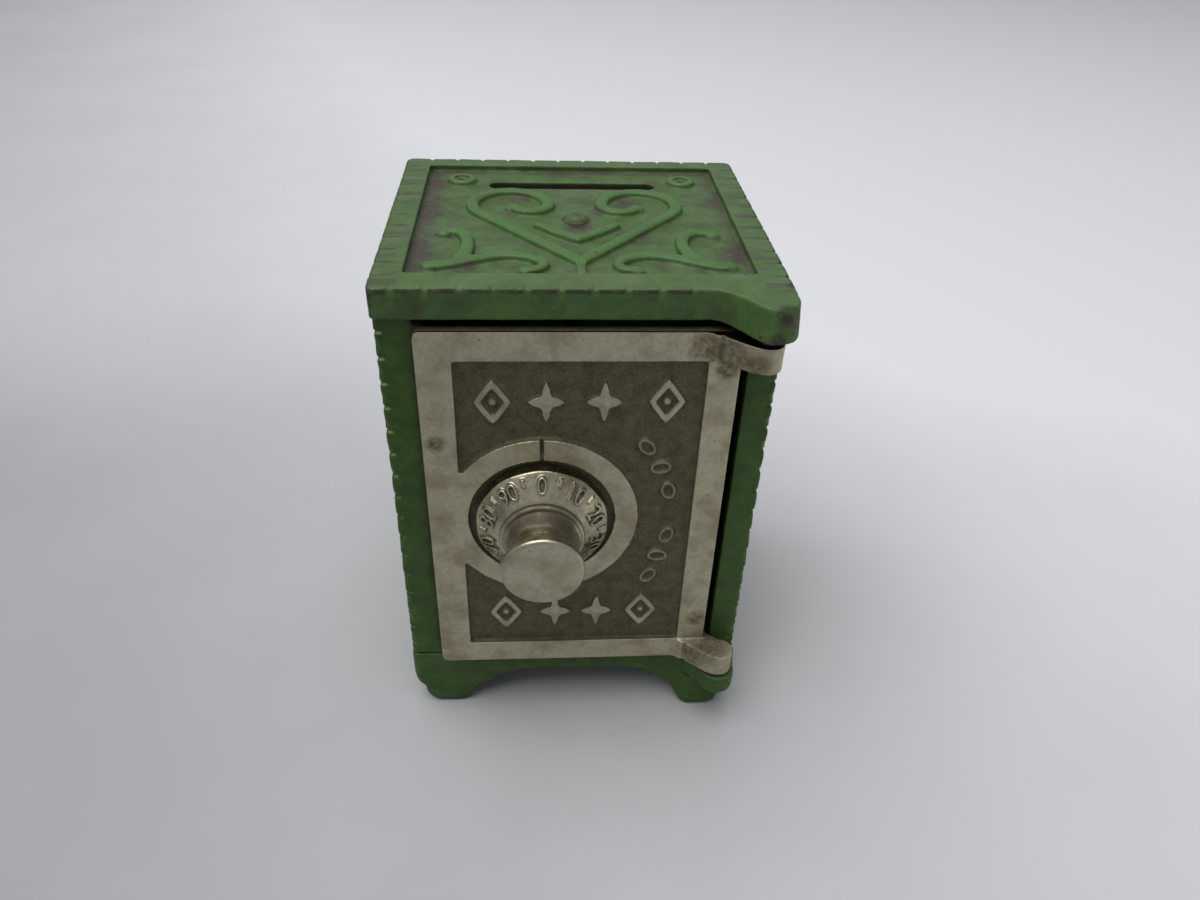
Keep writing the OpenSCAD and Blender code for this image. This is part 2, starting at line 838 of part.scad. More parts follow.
module lower_hinge_pin() {
    color(steel) translate(to_middle)
        translate([hinge_x, hinge_y, base_top - pin_run])
            cylinder(r = pin_r, h = pin_run + door_foot_gap + pin_held);
}

// Dial, knob and lock

module dial() {
    color(nickel) translate(to_middle)
        on_spindle()
            rotate_extrude()
                polygon([[spindle_r, dial_back_f], [dial_r, dial_back_f],
                    [dial_r, dial_rim_f], [dial_top_r, knob_f], [spindle_r, knob_f]]);
}

module knob() {
    sweep = (pow(neck_l / 2, 2) + pow(neck_flare, 2)) / (2 * neck_flare);
    color(nickel) translate(to_middle)
        on_spindle()
            difference() {
                rotate_extrude() {
                    translate([0, knob_f])
                        square([collar_r - collar_t / 2, collar_t]);
                    translate([collar_r - collar_t / 2, knob_f + collar_t / 2])
                        circle(collar_t / 2);
                    difference() {
                        translate([0, neck_f - lap])
                            square([neck_r + neck_flare, neck_l + 2 * lap]);
                        translate([neck_r + sweep, neck_f + neck_l / 2])
                            circle(sweep);
                    }
                    translate([0, knob_face_f])
                        square([face_r - face_edge_r, face_t]);
                    translate([0, knob_face_f + face_edge_r])
                        square([face_r, face_t - 2 * face_edge_r]);
                    for (z = [knob_face_f + face_edge_r, knob_end_f - face_edge_r])
                        translate([face_r - face_edge_r, z])
                            circle(face_edge_r);
                }
                translate([0, 0, knob_f - past])
                    cylinder(r = spindle_r, h = spindle_held + past);
            }
}

module dial_spindle() {
    color(steel) translate(to_middle)
        on_spindle() {
            translate([0, 0, hub_f])
                cylinder(r = spindle_r, h = knob_f + spindle_held - hub_f);
            translate([0, 0, tail_f])
                square_nut(square_w, hub_l + lap);
            translate([0, 0, spindle_end_f])
                cylinder(r = tail_r, h = tail_f - spindle_end_f + lap);
        }
}

module spring_washer() {
    low = hub_f + slack;
    rise = spring_room - spring_t - 2 * slack;
    inner = spindle_r + 2 * slack;
    color(steel) translate(to_middle)
        on_spindle()
            rotate_extrude()
                polygon([[inner, low], [spring_r, low + rise],
                    [spring_r, low + rise + spring_t], [inner, low + spring_t]]);
}

module lock_wheel() {
    notch_w = lug_h + 2 * notch_clear;
    color(steel) translate(to_middle)
        on_spindle()
            difference() {
                union() {
                    translate([0, 0, wheel_f - wheel_t])
                        cylinder(r = wheel_r, h = wheel_t);
                    translate([0, 0, tail_f])
                        cylinder(r = hub_r, h = hub_l);
                }
                translate([-wheel_r - past, -notch_w / 2, wheel_f - wheel_t - past])
                    cube([notch_depth + past, notch_w, wheel_t + 2 * past]);
                translate([0, 0, tail_f - past])
                    square_nut(square_w, hub_l + 2 * past);
            }
}

module spindle_washer() {
    color(steel) translate(to_middle)
        on_spindle()
            translate([0, 0, nut_f])
                difference() {
                    cylinder(r = tail_washer_r, h = tail_washer_t);
                    translate([0, 0, -past])
                        cylinder(r = tail_r, h = tail_washer_t + 2 * past);
                }
}

module spindle_nut() {
    color(steel) translate(to_middle)
        on_spindle()
            translate([0, 0, nut_f - tail_nut_t])
                difference() {
                    square_nut(tail_nut_w, tail_nut_t);
                    translate([0, 0, -past])
                        cylinder(r = tail_r, h = tail_nut_t + 2 * past);
                }
}

// Tie rods

module centre_tie_rod() {
    low = rod_nut_z - rod_past;
    dome = (pow(head_r, 2) + pow(head_h, 2)) / (2 * head_h);
    color(steel) translate(to_middle)
        translate([0, centre_rod_y, 0]) {
            translate([0, 0, low])
                cylinder(r = centre_rod_r, h = panel_z - low + lap);
            intersection() {
                translate([0, 0, panel_z + head_h - dome])
                    sphere(dome);
                translate([0, 0, panel_z])
                    cylinder(r = head_r, h = head_h + past);
            }
        }
}

module rear_tie_rod(side) {
    low = base_top - rear_rod_deep;
    color(steel) translate(to_middle)
        translate([side * rear_rod_x, rear_rod_y, 0]) {
            translate([0, 0, low])
                cylinder(r = rear_rod_r, h = rivet_z - rivet_taper - low);
            translate([0, 0, rivet_z - rivet_taper])
                cylinder(r1 = rear_rod_r, r2 = rivet_r, h = rivet_taper);
        }
}

module left_tie_rod() {
    rear_tie_rod(-1);
}

module right_tie_rod() {
    rear_tie_rod(1);
}

module tie_rod_washer() {
    color(steel) translate(to_middle)
        translate([0, centre_rod_y, rod_washer_z])
            difference() {
                cylinder(r = rod_washer_r, h = rod_washer_t);
                translate([0, 0, -past])
                    cylinder(r = centre_rod_r, h = rod_washer_t + 2 * past);
            }
}

module tie_rod_nut() {
    color(steel) translate(to_middle)
        translate([0, centre_rod_y, rod_nut_z])
            difference() {
                square_nut(rod_nut_w, rod_nut_t);
                translate([0, 0, -past])
                    cylinder(r = centre_rod_r, h = rod_nut_t + 2 * past);
            }
}

lid();
base();
left_side();
right_side();
back_panel();
door();
upper_hinge_pin();
lower_hinge_pin();
dial();
knob();
dial_spindle();
spring_washer();
lock_wheel();
spindle_washer();
spindle_nut();
centre_tie_rod();
left_tie_rod();
right_tie_rod();
tie_rod_washer();
tie_rod_nut();
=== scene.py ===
import math

import bmesh
import bpy
import numpy as np
from mathutils import Matrix, Vector


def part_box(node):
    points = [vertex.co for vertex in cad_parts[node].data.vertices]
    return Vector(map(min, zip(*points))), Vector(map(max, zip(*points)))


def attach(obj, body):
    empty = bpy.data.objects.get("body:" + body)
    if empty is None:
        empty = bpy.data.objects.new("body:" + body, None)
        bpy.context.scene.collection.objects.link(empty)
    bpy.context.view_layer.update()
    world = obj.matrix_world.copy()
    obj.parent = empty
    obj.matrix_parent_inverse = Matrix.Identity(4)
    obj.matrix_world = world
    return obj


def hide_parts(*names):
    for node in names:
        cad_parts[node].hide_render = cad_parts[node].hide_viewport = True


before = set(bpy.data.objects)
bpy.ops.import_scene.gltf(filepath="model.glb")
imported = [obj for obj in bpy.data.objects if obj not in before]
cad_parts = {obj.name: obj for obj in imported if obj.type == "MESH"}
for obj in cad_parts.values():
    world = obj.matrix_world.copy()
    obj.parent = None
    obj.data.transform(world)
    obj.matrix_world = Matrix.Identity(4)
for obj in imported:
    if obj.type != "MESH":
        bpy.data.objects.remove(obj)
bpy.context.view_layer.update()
mm = 0.001
print("frame loaded:", len(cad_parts), "solids")

# camera, solved from the corners of the safe
cameraView = {
    "place": (-7.83, -156.90, 165.69),  # mm
    "yaw": -4.908,  # degrees
    "pitch": -35.665,
    "roll": -2.374,
    "lens": 27.309,  # mm
    "sensor": 36,
    "nearest": 0.01,  # m
}


def addObject(name, data):
    made = bpy.data.objects.new(name, data)
    bpy.context.scene.collection.objects.link(made)
    return made


def makeCamera(look):
    data = bpy.data.cameras.new("shelfView")
    data.sensor_width = look["sensor"]
    data.lens = look["lens"]
    data.clip_start = look["nearest"]
    camera = addObject("shelfView", data)
    turn = (Matrix.Rotation(math.radians(look["yaw"]), 4, "Z")
            @ Matrix.Rotation(math.radians(look["pitch"]), 4, "X")
            @ Matrix.Rotation(math.radians(look["roll"]), 4, "Y"))
    camera.matrix_world = (Matrix.Translation(Vector(look["place"]) * mm)
                           @ turn @ Matrix.Rotation(math.radians(90), 4, "X"))
    bpy.context.scene.camera = camera


makeCamera(cameraView)
print("camera set")


# sizes of the solids, in mm
def cornersOf(node):
    low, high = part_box(node)
    return [v / mm for v in low], [v / mm for v in high]


lidLow, lidHigh = cornersOf("lid")
sideLow, sideHigh = cornersOf("right_side")
dialLow, dialHigh = cornersOf("dial")
pinLow, pinHigh = cornersOf("upper_hinge_pin")
lidSize = (69.8, 63.6)
lidTop = lidHigh[2]
# outlines are drawn about the middle of the lid
middleX = lidLow[0] + lidSize[0] / 2
middleY = lidHigh[1] - lidSize[1] / 2
hingeX = (pinLow[0] + pinHigh[0]) / 2 - middleX
hingeY = (pinLow[1] + pinHigh[1]) / 2 - middleY
dialX = (dialLow[0] + dialHigh[0]) / 2 - middleX
dialZ = (dialLow[2] + dialHigh[2]) / 2
rearRod = (22.6, 21.0)  # to the right and behind
lobePitch = {"front": 5.45, "side": 5.3, "back": 5.45, "case": 4.95}


# mesh helpers
def newPiece(name, bm, outward=False):
    if outward:  # its faces look out
        bmesh.ops.recalc_face_normals(bm, faces=bm.faces)
    mesh = bpy.data.meshes.new(name)
    bm.to_mesh(mesh)
    bm.free()
    return addObject(name, mesh)


def onTop(u, v, w):  # drawn in plan
    return (middleX + u, middleY + v, w)


def onFront(u, v, w):  # drawn as seen from the front, w runs forward
    return (middleX + u, middleY - w, v)


def onSide(u, v, w):  # drawn as seen from the right, w runs right
    return (middleX + w, middleY + u, v)


def addPoint(bm, place, u, v, w):
    return bm.verts.new(Vector(place(u, v, w)) * mm)


def joinRings(bm, a, b):  # a ring of one point is a pole
    for k in range(max(len(a), len(b))):
        corners = [a[k % len(a)], a[(k + 1) % len(a)], b[(k + 1) % len(b)], b[k % len(b)]]
        corners = [v for n, v in enumerate(corners) if v not in corners[:n]]
        if len(corners) > 2:
            bm.faces.new(corners)


def prism(name, outline, low, high, place=onTop):
    bm = bmesh.new()
    ends = [[addPoint(bm, place, u, v, w) for u, v in outline] for w in (low, high)]
    for end in ends:
        bm.faces.new(end)
    joinRings(bm, *ends)
    return newPiece(name, bm, outward=True)


# prism with a rounded top edge; leans holds how far back each point of the outline moves towards the top
def softPrism(name, outline, low, high, radius, leans):
    normals = []
    for before, after in zip(outline[-1:] + outline[:-1], outline[1:] + outline[:1]):
        run = (Vector(after) - Vector(before)).normalized()
        normals.append((-run.y, run.x))
    turns = [math.radians(a) for a in range(0, 91, 15)]
    levels = [(0, low)] + [(radius * (1 - math.cos(a)), high - radius + radius * math.sin(a)) for a in turns]
    bm = bmesh.new()
    rings = []
    for inset, z in levels:
        share = (z - low) / (high - low)
        rings.append([addPoint(bm, onTop, x + nx * inset, y + ny * inset + lean * share, z)
                      for (x, y), (nx, ny), lean in zip(outline, normals, leans)])
    for a, b in zip(rings, rings[1:]):
        joinRings(bm, a, b)
    bm.faces.new(rings[0])
    bm.faces.new(rings[-1])
    return newPiece(name, bm, outward=True)


def block(name, low, high):
    (x0, y0, z0), (x1, y1, z1) = low, high
    return prism(name, [(x0, y0), (x1, y0), (x1, y1), (x0, y1)], z0, z1)


def arcPoints(centre, radius, start, end, count):
    turns = [math.radians(start + (end - start) * i / count) for i in range(count + 1)]
    return [(centre[0] + radius * math.cos(a), centre[1] + radius * math.sin(a)) for a in turns]


def circlePoints(centre, radius):
    return arcPoints(centre, radius, 0, 350, 35)


def linePoints(a, b, count):
    return [(a[0] + (b[0] - a[0]) * i / count, a[1] + (b[1] - a[1]) * i / count) for i in range(count + 1)]


def bezierPoints(a, b, c, d, count):
    found = []
    for i in range(count + 1):
        t = i / count
        k = ((1 - t) ** 3, 3 * t * (1 - t) ** 2, 3 * t * t * (1 - t), t ** 3)
        found.append(tuple(k[0] * a[n] + k[1] * b[n] + k[2] * c[n] + k[3] * d[n] for n in (0, 1)))
    return found


def rounded(value, fullness=0.62):  # 1 gives an ellipse, 0 a box
    return math.copysign(abs(value) ** fullness, value)


# raised cord with a full, rounded section, lying on a plane; it tapers with its widths
def ribbon(name, path, widths, rise, ground, place=onTop, closed=False):
    count, sides, thinRise = len(path), 18, 0.25
    if not hasattr(widths, "__len__"):
        widths = [widths] * count
    bm = bmesh.new()
    rings = []
    for i, (u, v) in enumerate(path):
        before = path[i - 1] if (i or closed) else path[i]
        after = path[(i + 1) % count] if (i < count - 1 or closed) else path[i]
        run = Vector((after[0] - before[0], after[1] - before[1])).normalized()
        high = rise * min(1, widths[i] / max(widths) + thinRise)
        ring = []
        for k in range(sides):
            turn = 2 * math.pi * k / sides
            out, up = widths[i] * rounded(math.cos(turn)), high * rounded(math.sin(turn))
            ring.append(addPoint(bm, place, u - run.y * out, v + run.x * out, ground + up))
        rings.append(ring)
    for i in range(count if closed else count - 1):
        joinRings(bm, rings[i], rings[(i + 1) % count])
    if not closed:
        bm.faces.new(rings[0])
        bm.faces.new(rings[-1])
    return newPiece(name, bm, outward=True)


# low dome on a plane, such as the end of a scroll
def bead(name, centre, radius, rise, ground, place=onTop):
    bm = bmesh.new()
    made = bmesh.ops.create_uvsphere(bm, u_segments=28, v_segments=16, radius=1)
    for v in made["verts"]:
        spot = place(centre[0] + v.co.x * radius, centre[1] + v.co.y * radius, ground + v.co.z * rise)
        v.co = Vector(spot) * mm
    return newPiece(name, bm, outward=True)


# profile of (radius, distance) turned about the spindle or another axis
def turned(name, profile, centre, place=onFront, steps=128):
    bm = bmesh.new()
    rings = []
    for radius, height in profile:
        ring = []
        for k in range(steps if radius else 1):
            turn = 2 * math.pi * k / steps
            u, v = centre[0] + radius * math.cos(turn), centre[1] + radius * math.sin(turn)
            ring.append(addPoint(bm, place, u, v, height))
        rings.append(ring)
    for a, b in zip(rings, rings[1:]):
        joinRings(bm, a, b)
    return newPiece(name, bm, outward=True)


def settle(piece):  # keeps the mesh as its modifiers leave it
    graph = bpy.context.evaluated_depsgraph_get()
    mesh = bpy.data.meshes.new_from_object(piece.evaluated_get(graph))
    piece.modifiers.clear()
    piece.data = mesh
    return piece


def carve(piece, cutters):
    for cutter in cutters:
        cut = piece.modifiers.new("cut", "BOOLEAN")
        cut.operation = "DIFFERENCE"
        cut.solver = "EXACT"
        cut.object = cutter
    settle(piece)
    for cutter in cutters:
        bpy.data.objects.remove(cutter)
    return piece


def fuse(name, parts):
    bm = bmesh.new()
    for part in parts:
        bm.from_mesh(part.data)
    for part in parts:
        bpy.data.objects.remove(part)
    return newPiece(name, bm)


def copyOf(node):
    bm = bmesh.new()
    bm.from_mesh(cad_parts[node].data)
    return newPiece(node + "Copy", bm)


# one skin over all parts, with the soft edges and fillets of a sand casting
def castSkin(piece, look):
    skin = piece.modifiers.new("skin", "REMESH")
    skin.mode = "VOXEL"
    skin.voxel_size = look["voxel"] * mm
    skin.use_smooth_shade = True
    soft = piece.modifiers.new("soft edges", "SMOOTH")
    soft.factor = 0.5
    soft.iterations = look["soften"]
    return settle(piece)


lumpMiddle = 0.85  # most of the lumps go inward, so that a piece keeps within its solid


def castLumps(piece, look):
    for kind in ("swell", "grain"):
        size, height = look[kind]
        pattern = bpy.data.textures.new(piece.name + kind, "CLOUDS")
        pattern.noise_scale = size * mm
        pattern.noise_depth = 2
        lumps = piece.modifiers.new(kind, "DISPLACE")
        lumps.texture = pattern
        lumps.texture_coords = "LOCAL"
        lumps.strength = height * mm
        lumps.mid_level = lumpMiddle
    settle(piece)
    for face in piece.data.polygons:
        face.use_smooth = True


def pointsOf(piece):
    co = np.empty(len(piece.data.vertices) * 3)
    piece.data.vertices.foreach_get("co", co)
    return co.reshape(-1, 3) / mm - (middleX, middleY, 0)


def movePoints(piece, co):
    co = (co + (middleX, middleY, 0)) * mm
    piece.data.vertices.foreach_set("co", co.ravel())
    piece.data.update()


def ramp(values, start, run):  # 0 up to the start, 1 from the end of the run
    return np.clip((values - start) / run, 0, 1)


# row of round lobes on a corner line; out is the way that the corner points
def lobeEdge(piece, start, end, out, look):
    co = pointsOf(piece)
    start, end, out = (np.array(v, float) for v in (start, end, out))
    out /= np.linalg.norm(out)
    length = np.linalg.norm(end - start)
    run = (end - start) / length
    pitch = length / round(length / look["pitch"])
    half, reach = look["grooveHalf"], look["grooveReach"]
    roundness, endRun, grooveFull, margin = 0.8, 0.6, 1.6, 2
    fromStart = co - start
    along = fromStart @ run
    outward = fromStart @ out
    across = np.linalg.norm(fromStart - np.outer(along, run), axis=1)
    wave = np.abs(np.sin(np.pi * along / pitch)) ** roundness
    limit = -look["crown"] - look["bite"] * (1 - wave)
    ends = ramp(along, 0, endRun) * ramp(along, length, -endRun)
    shift = np.minimum(limit - outward, 0) * ends
    fold = np.abs((along / pitch + 0.5) % 1 - 0.5) * pitch  # distance to the nearest notch
    groove = np.clip(1 - fold / half, 0, 1) * np.clip(grooveFull * (1 - across / reach), 0, 1)
    shift -= look["groove"] * groove * ends
    near = across < reach + margin
    co[near] += shift[near, None] * out
    movePoints(piece, co)


# groove along a line, or a ridge if its depth is negative
def crease(piece, start, end, out, half, depth, reach=1.2):
    co = pointsOf(piece)
    start, end, out = (np.array(v, float) for v in (start, end, out))
    run = end - start
    share = np.clip((co - start) @ run / (run @ run), 0, 1)
    away = co - start - np.outer(share, run)
    flat = np.linalg.norm(away - np.outer(away @ out, out), axis=1)
    near = (flat < half) & (np.abs(away @ out) < reach)
    fade = 0.5 + 0.5 * np.cos(np.pi * np.clip(flat / half, 0, 1))
    co[near] -= depth * fade[near, None] * out
    movePoints(piece, co)


# materials
work = {}  # tree of the material in hand and where its points are on the object


def add(kind):
    return work["tree"].nodes.new("ShaderNode" + kind)


def feed(socket, value):
    if isinstance(value, bpy.types.NodeSocket):
        work["tree"].links.new(value, socket)
    else:
        socket.default_value = (*value, 1) if socket.type == "RGBA" else value


def addFed(kind, **values):  # a node with its inputs fed by name
    node = add(kind)
    for name, value in values.items():
        feed(node.inputs[name], value)
    return node


def sums(kind, a, b=0):
    node = add("Math")
    node.operation = kind
    node.use_clamp = kind in ("ADD", "MULTIPLY")
    feed(node.inputs[0], a)
    feed(node.inputs[1], b)
    return node.outputs[0]


def plus(a, b):
    return sums("ADD", a, b)


def minus(a, b):
    return sums("SUBTRACT", a, b)


def allOf(found, *masks):  # where all the masks are 1
    for mask in masks:
        found = sums("MULTIPLY", found, mask)
    return found


def mix(amount, a, b):
    node = add("Mix")
    node.data_type = "RGBA"
    for place, value in ((0, amount), (6, a), (7, b)):
        feed(node.inputs[place], value)
    return node.outputs[2]


def spread(value, low, high, toLow=0.0, toHigh=1.0):
    node = addFed("MapRange", **{"Value": value, "From Min": low, "From Max": high,
                                 "To Min": toLow, "To Max": toHigh})
    node.interpolation_type = "SMOOTHSTEP"
    return node.outputs[0]


def noise(scale, detail, rough=0.55, stretch=None):
    where = addFed("Mapping", Vector=work["where"], Scale=stretch).outputs[0] if stretch else work["where"]
    return addFed("TexNoise", Vector=where, Scale=scale, Detail=detail, Roughness=rough).outputs["Fac"]


def pattern(scale, detail, rough, low, high, toLow=0.0, toHigh=1.0, stretch=None):
    return spread(noise(scale, detail, rough, stretch), low, high, toLow, toHigh)


def cells(scale):
    return addFed("TexVoronoi", Vector=work["where"], Scale=scale).outputs["Distance"]


def hollows(reach):  # 1 in corners and recesses, 0 in the open
    node = addFed("AmbientOcclusion", Distance=reach * mm)
    node.samples = 12
    return minus(1.0, node.outputs["AO"])


def crests(low, high):  # 1 on sharp outer edges
    return spread(add("NewGeometry").outputs["Pointiness"], low, high)


def partOf(vector, axis):
    return addFed("SeparateXYZ", Vector=vector).outputs[axis]


def axisOf(axis):
    return partOf(work["where"], axis)


def upward():  # 1 on faces that look up
    return spread(partOf(add("NewGeometry").outputs["Normal"], 2), 0.45, 0.95)


def between(length, low, high, toLow=0.0, toHigh=1.0):  # in mm; length can be the number of an axis
    if isinstance(length, int):
        length = axisOf(length)
    return spread(length, low * mm, high * mm, toLow, toHigh)


def patch(spot, radius, core=0.35):  # 1 round the spot, fading to 0 at the radius
    node = add("VectorMath")
    node.operation = "DISTANCE"
    feed(node.inputs[0], work["where"])
    feed(node.inputs[1], Vector(spot) * mm)
    return between(node.outputs["Value"], radius * core, radius, 1, 0)


def startMaterial(name):
    material = bpy.data.materials.new(name)
    material.use_nodes = True
    work["tree"] = material.node_tree
    work["tree"].nodes.clear()
    shader = add("BsdfPrincipled")
    addFed("OutputMaterial", Surface=shader.outputs[0])
    work["where"] = add("TexCoord").outputs["Object"]
    return material, shader


def paint(shader, colour, rough, height, depth):
    feed(shader.inputs["Base Color"], colour)
    feed(shader.inputs["Roughness"], rough)
    feed(shader.inputs["Normal"], addFed("Bump", Distance=depth * mm, Height=height).outputs[0])


# a pattern is noise as scale, detail and roughness, then the range of it that is used and what that gives
greenLook = {
    "deep": (0.050, 0.105, 0.026),
    "fresh": (0.082, 0.165, 0.042),
    # paler colour of upward faces: dust and painted sheen
    "chalk": (0.150, 0.200, 0.110),
    "grime": (0.046, 0.036, 0.026),
    "bare": (0.070, 0.046, 0.034),
    "mottle": (260, 6, 0.62, 0.24, 0.76),
    "faded": (150, 5, 0.55, 0.44, 0.76, 0, 0.30),
    "dust": (95, 4, 0.55, 0.34, 0.66, 0.3, 1.0), "dustShare": 0.40,
    "speckle": (2600, 2, 0.55, 0.52, 0.70, 0, 0.5),
    "grimeReach": 2.4, "grimeRange": (0.08, 0.50), "grimeNoise": (420, 4, 0.55, 0.28, 0.60, 0.3, 1),
    "crests": (0.53, 0.60), "wear": (480, 5, 0.55, 0.44, 0.58, 0, 0.8),
    "chips": (300, 6, 0.68, 0.69, 0.71, 0, 0.8),
    "gloss": (700, 4, 0.55, 0.3, 0.7, 0.34, 0.56), "dirtRough": 0.35,
    "relief": ((1700, 4, 0.6), (420, 3, 0.4)),  # noise as scale, detail and share of the height
    "wornDeep": 0.35, "bump": 0.14,
    "ground": None,  # heights in mm between which dirt has gathered
    "groundNoise": (190, 5, 0.6, 0.42, 0.70, 0, 0.5),
    "pit": None,  # corners of the room under the slot, which gets painted shade
    "smears": (),  # x, y and radius of brown smears
    "panel": None,  # half width and half depth of the sunk panel
    "rubs": (),  # x, y, mm under the top and radius of spots worn down to the iron
    "rub": (640, 4, 0.55, 0.32, 0.52, 0.2, 0.95),
    "edges": (),  # worn lobed edges, with painted light at their notches
}

lobeWearAndLight = {
    "noise": (520, 5, 0.6, 0.34, 0.58, 0.30, 1.0),
    "lobe": (0.35, 0.9), "notch": (0.10, 0.34),  # mm from the middle of a notch
    "before": (2.6, 1.8), "after": 1.2, "faded": 0.25,
}


def lobedWearAndLight(edge, look):  # rubbed lobes, and painted light at the notches between them: painted shade in the notches of the lid, a painted highlight on the lower lip of each notch of the case
    along, start, until = edge["along"], edge["start"], edge["until"]
    fromStart = minus(axisOf(along), start * mm)
    gap = sums("PINGPONG", fromStart, edge["pitch"] / 2 * mm)
    top = between(edge["drop"], *edge["top"])
    ends = allOf(between(along, until, until - look["after"]),
                 between(along, *[start - before for before in look["before"]]))
    rubbed = allOf(between(edge["across"], *edge["band"]), top, pattern(*look["noise"]), ends,
                   between(gap, *look["lobe"]))
    # painted light at each notch: shade on the lid, a highlight on the case
    seam = allOf(between(edge["across"], *edge["seam"]), top, ends, between(gap, *look["notch"], 1, 0))
    # the painted highlights fade towards the bottom
    if "fade" in edge:
        seam = allOf(seam, between(along, *edge["fade"], look["faded"], 1))
    return rubbed, seam


def smearsOf(look):
    found = 0.0
    for x, y, radius in look["smears"]:
        found = plus(found, allOf(patch(onTop(x, y, look["smearHigh"]), radius), pattern(*look["smearNoise"]),
                                  between(2, *look["smearLevels"], 1, 0.25)))
    return found


# paler cords, painted shadow along the walls of the panel and stripes across the side borders
def panelWear(look, colour, smearsAndShade):
    fromSide = sums("ABSOLUTE", axisOf(0))
    fromMiddle = sums("ABSOLUTE", minus(axisOf(1), look["panelMiddle"] * mm))
    inPanel = allOf(*[between(length, half, half - look["panelFade"])
                      for length, half in zip((fromSide, fromMiddle), look["panel"])])
    raised = allOf(between(2, *look["cordLevels"]), inPanel, pattern(*look["cordNoise"]))
    colour = mix(raised, colour, look["cordColour"])
    low, uneven = between(2, *look["bankLevels"], 1, 0), pattern(*look["bankNoise"])
    # painted shadow that each wall casts on the ground of the panel, in the colour of the brown smears
    for axis, start, end, amount in look["banks"]:
        wallShadow = between(axis, start, end, 0, amount)
        smearsAndShade = plus(smearsAndShade, allOf(wallShadow, uneven, low, inPanel))
    border = between(fromSide, *look["border"])
    return colour, plus(smearsAndShade, allOf(pattern(*look["stripes"]), border, upward()))


def greenEnamel(name, look):
    material, shader = startMaterial(name)
    colour = mix(pattern(*look["mottle"]), look["deep"], look["fresh"])
    # paler on upward faces: faded paint and dust, with painted sheen
    faded = allOf(pattern(*look["faded"]), upward())
    dustAndSheenMask = allOf(upward(), pattern(*look["dust"]), look["dustShare"])
    colour = mix(plus(faded, dustAndSheenMask), colour, look["chalk"])
    colour = mix(pattern(*look["speckle"]), colour, look["deep"])
    # darker in corners and recesses by the hollows' mask: grime, and partly painted shade
    dirt = allOf(spread(hollows(look["grimeReach"]), *look["grimeRange"]), pattern(*look["grimeNoise"]))
    if look["ground"]:
        sunk = between(2, *look["ground"], 1, 0)
        dirt = plus(dirt, allOf(sunk, pattern(*look["groundNoise"])))
    # painted shade inside the slot, where the room under it lies in shadow
    if look["pit"]:
        low, high = look["pit"]
        inside = between(2, high[2] - look["pitFade"][2], high[2], 1, 0)
        for axis in (0, 1):
            fade = look["pitFade"][axis]
            inside = allOf(inside, between(axis, low[axis], low[axis] + fade),
                           between(axis, high[axis], high[axis] - fade))
        dirt = plus(dirt, inside)
    smearsAndShade = smearsOf(look)
    if look["panel"]:
        colour, smearsAndShade = panelWear(look, colour, smearsAndShade)
        # brown smears, with the painted wall shadows
        colour = mix(smearsAndShade, colour, look["smearColour"])
    colour = mix(dirt, colour, look["grime"])
    worn = allOf(crests(*look["crests"]), pattern(*look["wear"]))
    worn = plus(worn, pattern(*look["chips"]))
    for x, y, drop, radius in look["rubs"]:
        rub = allOf(patch(onTop(x, y, lidTop - drop), radius), pattern(*look["rub"]))
        worn = plus(worn, rub)
    for edge in look["edges"]:
        rubbed, seam = lobedWearAndLight(edge, lobeWearAndLight)
        worn = plus(worn, allOf(rubbed, edge["wear"]))
        # the notch marks: painted shade in the lid's notches, painted highlights on the case's
        colour = mix(allOf(seam, edge["dark"]), colour, edge.get("tint", look["grime"]))
    colour = mix(worn, colour, look["bare"])
    shader.inputs["Specular IOR Level"].default_value = look["specular"]
    rough = plus(pattern(*look["gloss"]), allOf(dirt, look["dirtRough"]))
    height = plus(*[allOf(noise(scale, detail), share) for scale, detail, share in look["relief"]])
    paint(shader, colour, rough, minus(height, allOf(worn, look["wornDeep"])), look["bump"])
    return material


nickelLook = {
    "plate": (0.48, 0.445, 0.322),
    "dull": (0.30, 0.266, 0.180),
    "grime": (0.040, 0.032, 0.020),
    "rust": (0.125, 0.082, 0.055),
    "stainColour": (0.170, 0.144, 0.080),
    "tarnish": (170, 5, 0.6, 0.40, 0.72),
    "cloud": (1100, 5, 0.55, 0.35, 0.75, 0, 0.45),
    # reach and range of the grime and painted shade in hollows
    "reach": 1.6, "dirt": (0.10, 0.55, 0, 0.9),
    "pits": 0.6, "pitScale": 620, "pitRange": (0.07, 0.15, 1, 0), "pitNoise": (210, 4, 0.55, 0.53, 0.64),
    "brown": (130, 6, 0.65, 0.60, 0.74), "brownShare": 0.55,
    "stains": (), "cloudy": (900, 6, 0.75, 0.32, 0.66, 0.25, 0.95),
    "rough": (0.39, 0.53), "scratch": (500, 3, 0.6, 0.3, 0.7), "scratchStretch": (1, 1, 0.12),
    "dirtRough": 0.3, "rustRough": 0.35, "lessMetal": 0.8,
    "grain": (800, 4), "grainShare": 0.6, "bump": 0.06,
    "shade": None,  # heights in mm above which upward faces get painted shadow
    "field": None,  # mm forward of the lid's middle, between which the sunk field begins
}


# the sunk field: dark and pebbled
def nickelField(look, colour, rough, metal, height):
    field = between(1, *[middleY - forward for forward in look["field"]])
    grains = cells(look["pebbles"])
    fieldColour = mix(pattern(*look["fieldNoise"]), look["grime"], look["fieldColour"])
    fieldColour = mix(spread(grains, *look["pebbleRange"]), fieldColour, look["dull"])
    return (mix(field, colour, fieldColour), plus(rough, allOf(field, look["fieldRough"])),
            minus(metal, allOf(field, look["fieldLessMetal"])),
            minus(height, allOf(grains, field, look["pebbleHigh"])))


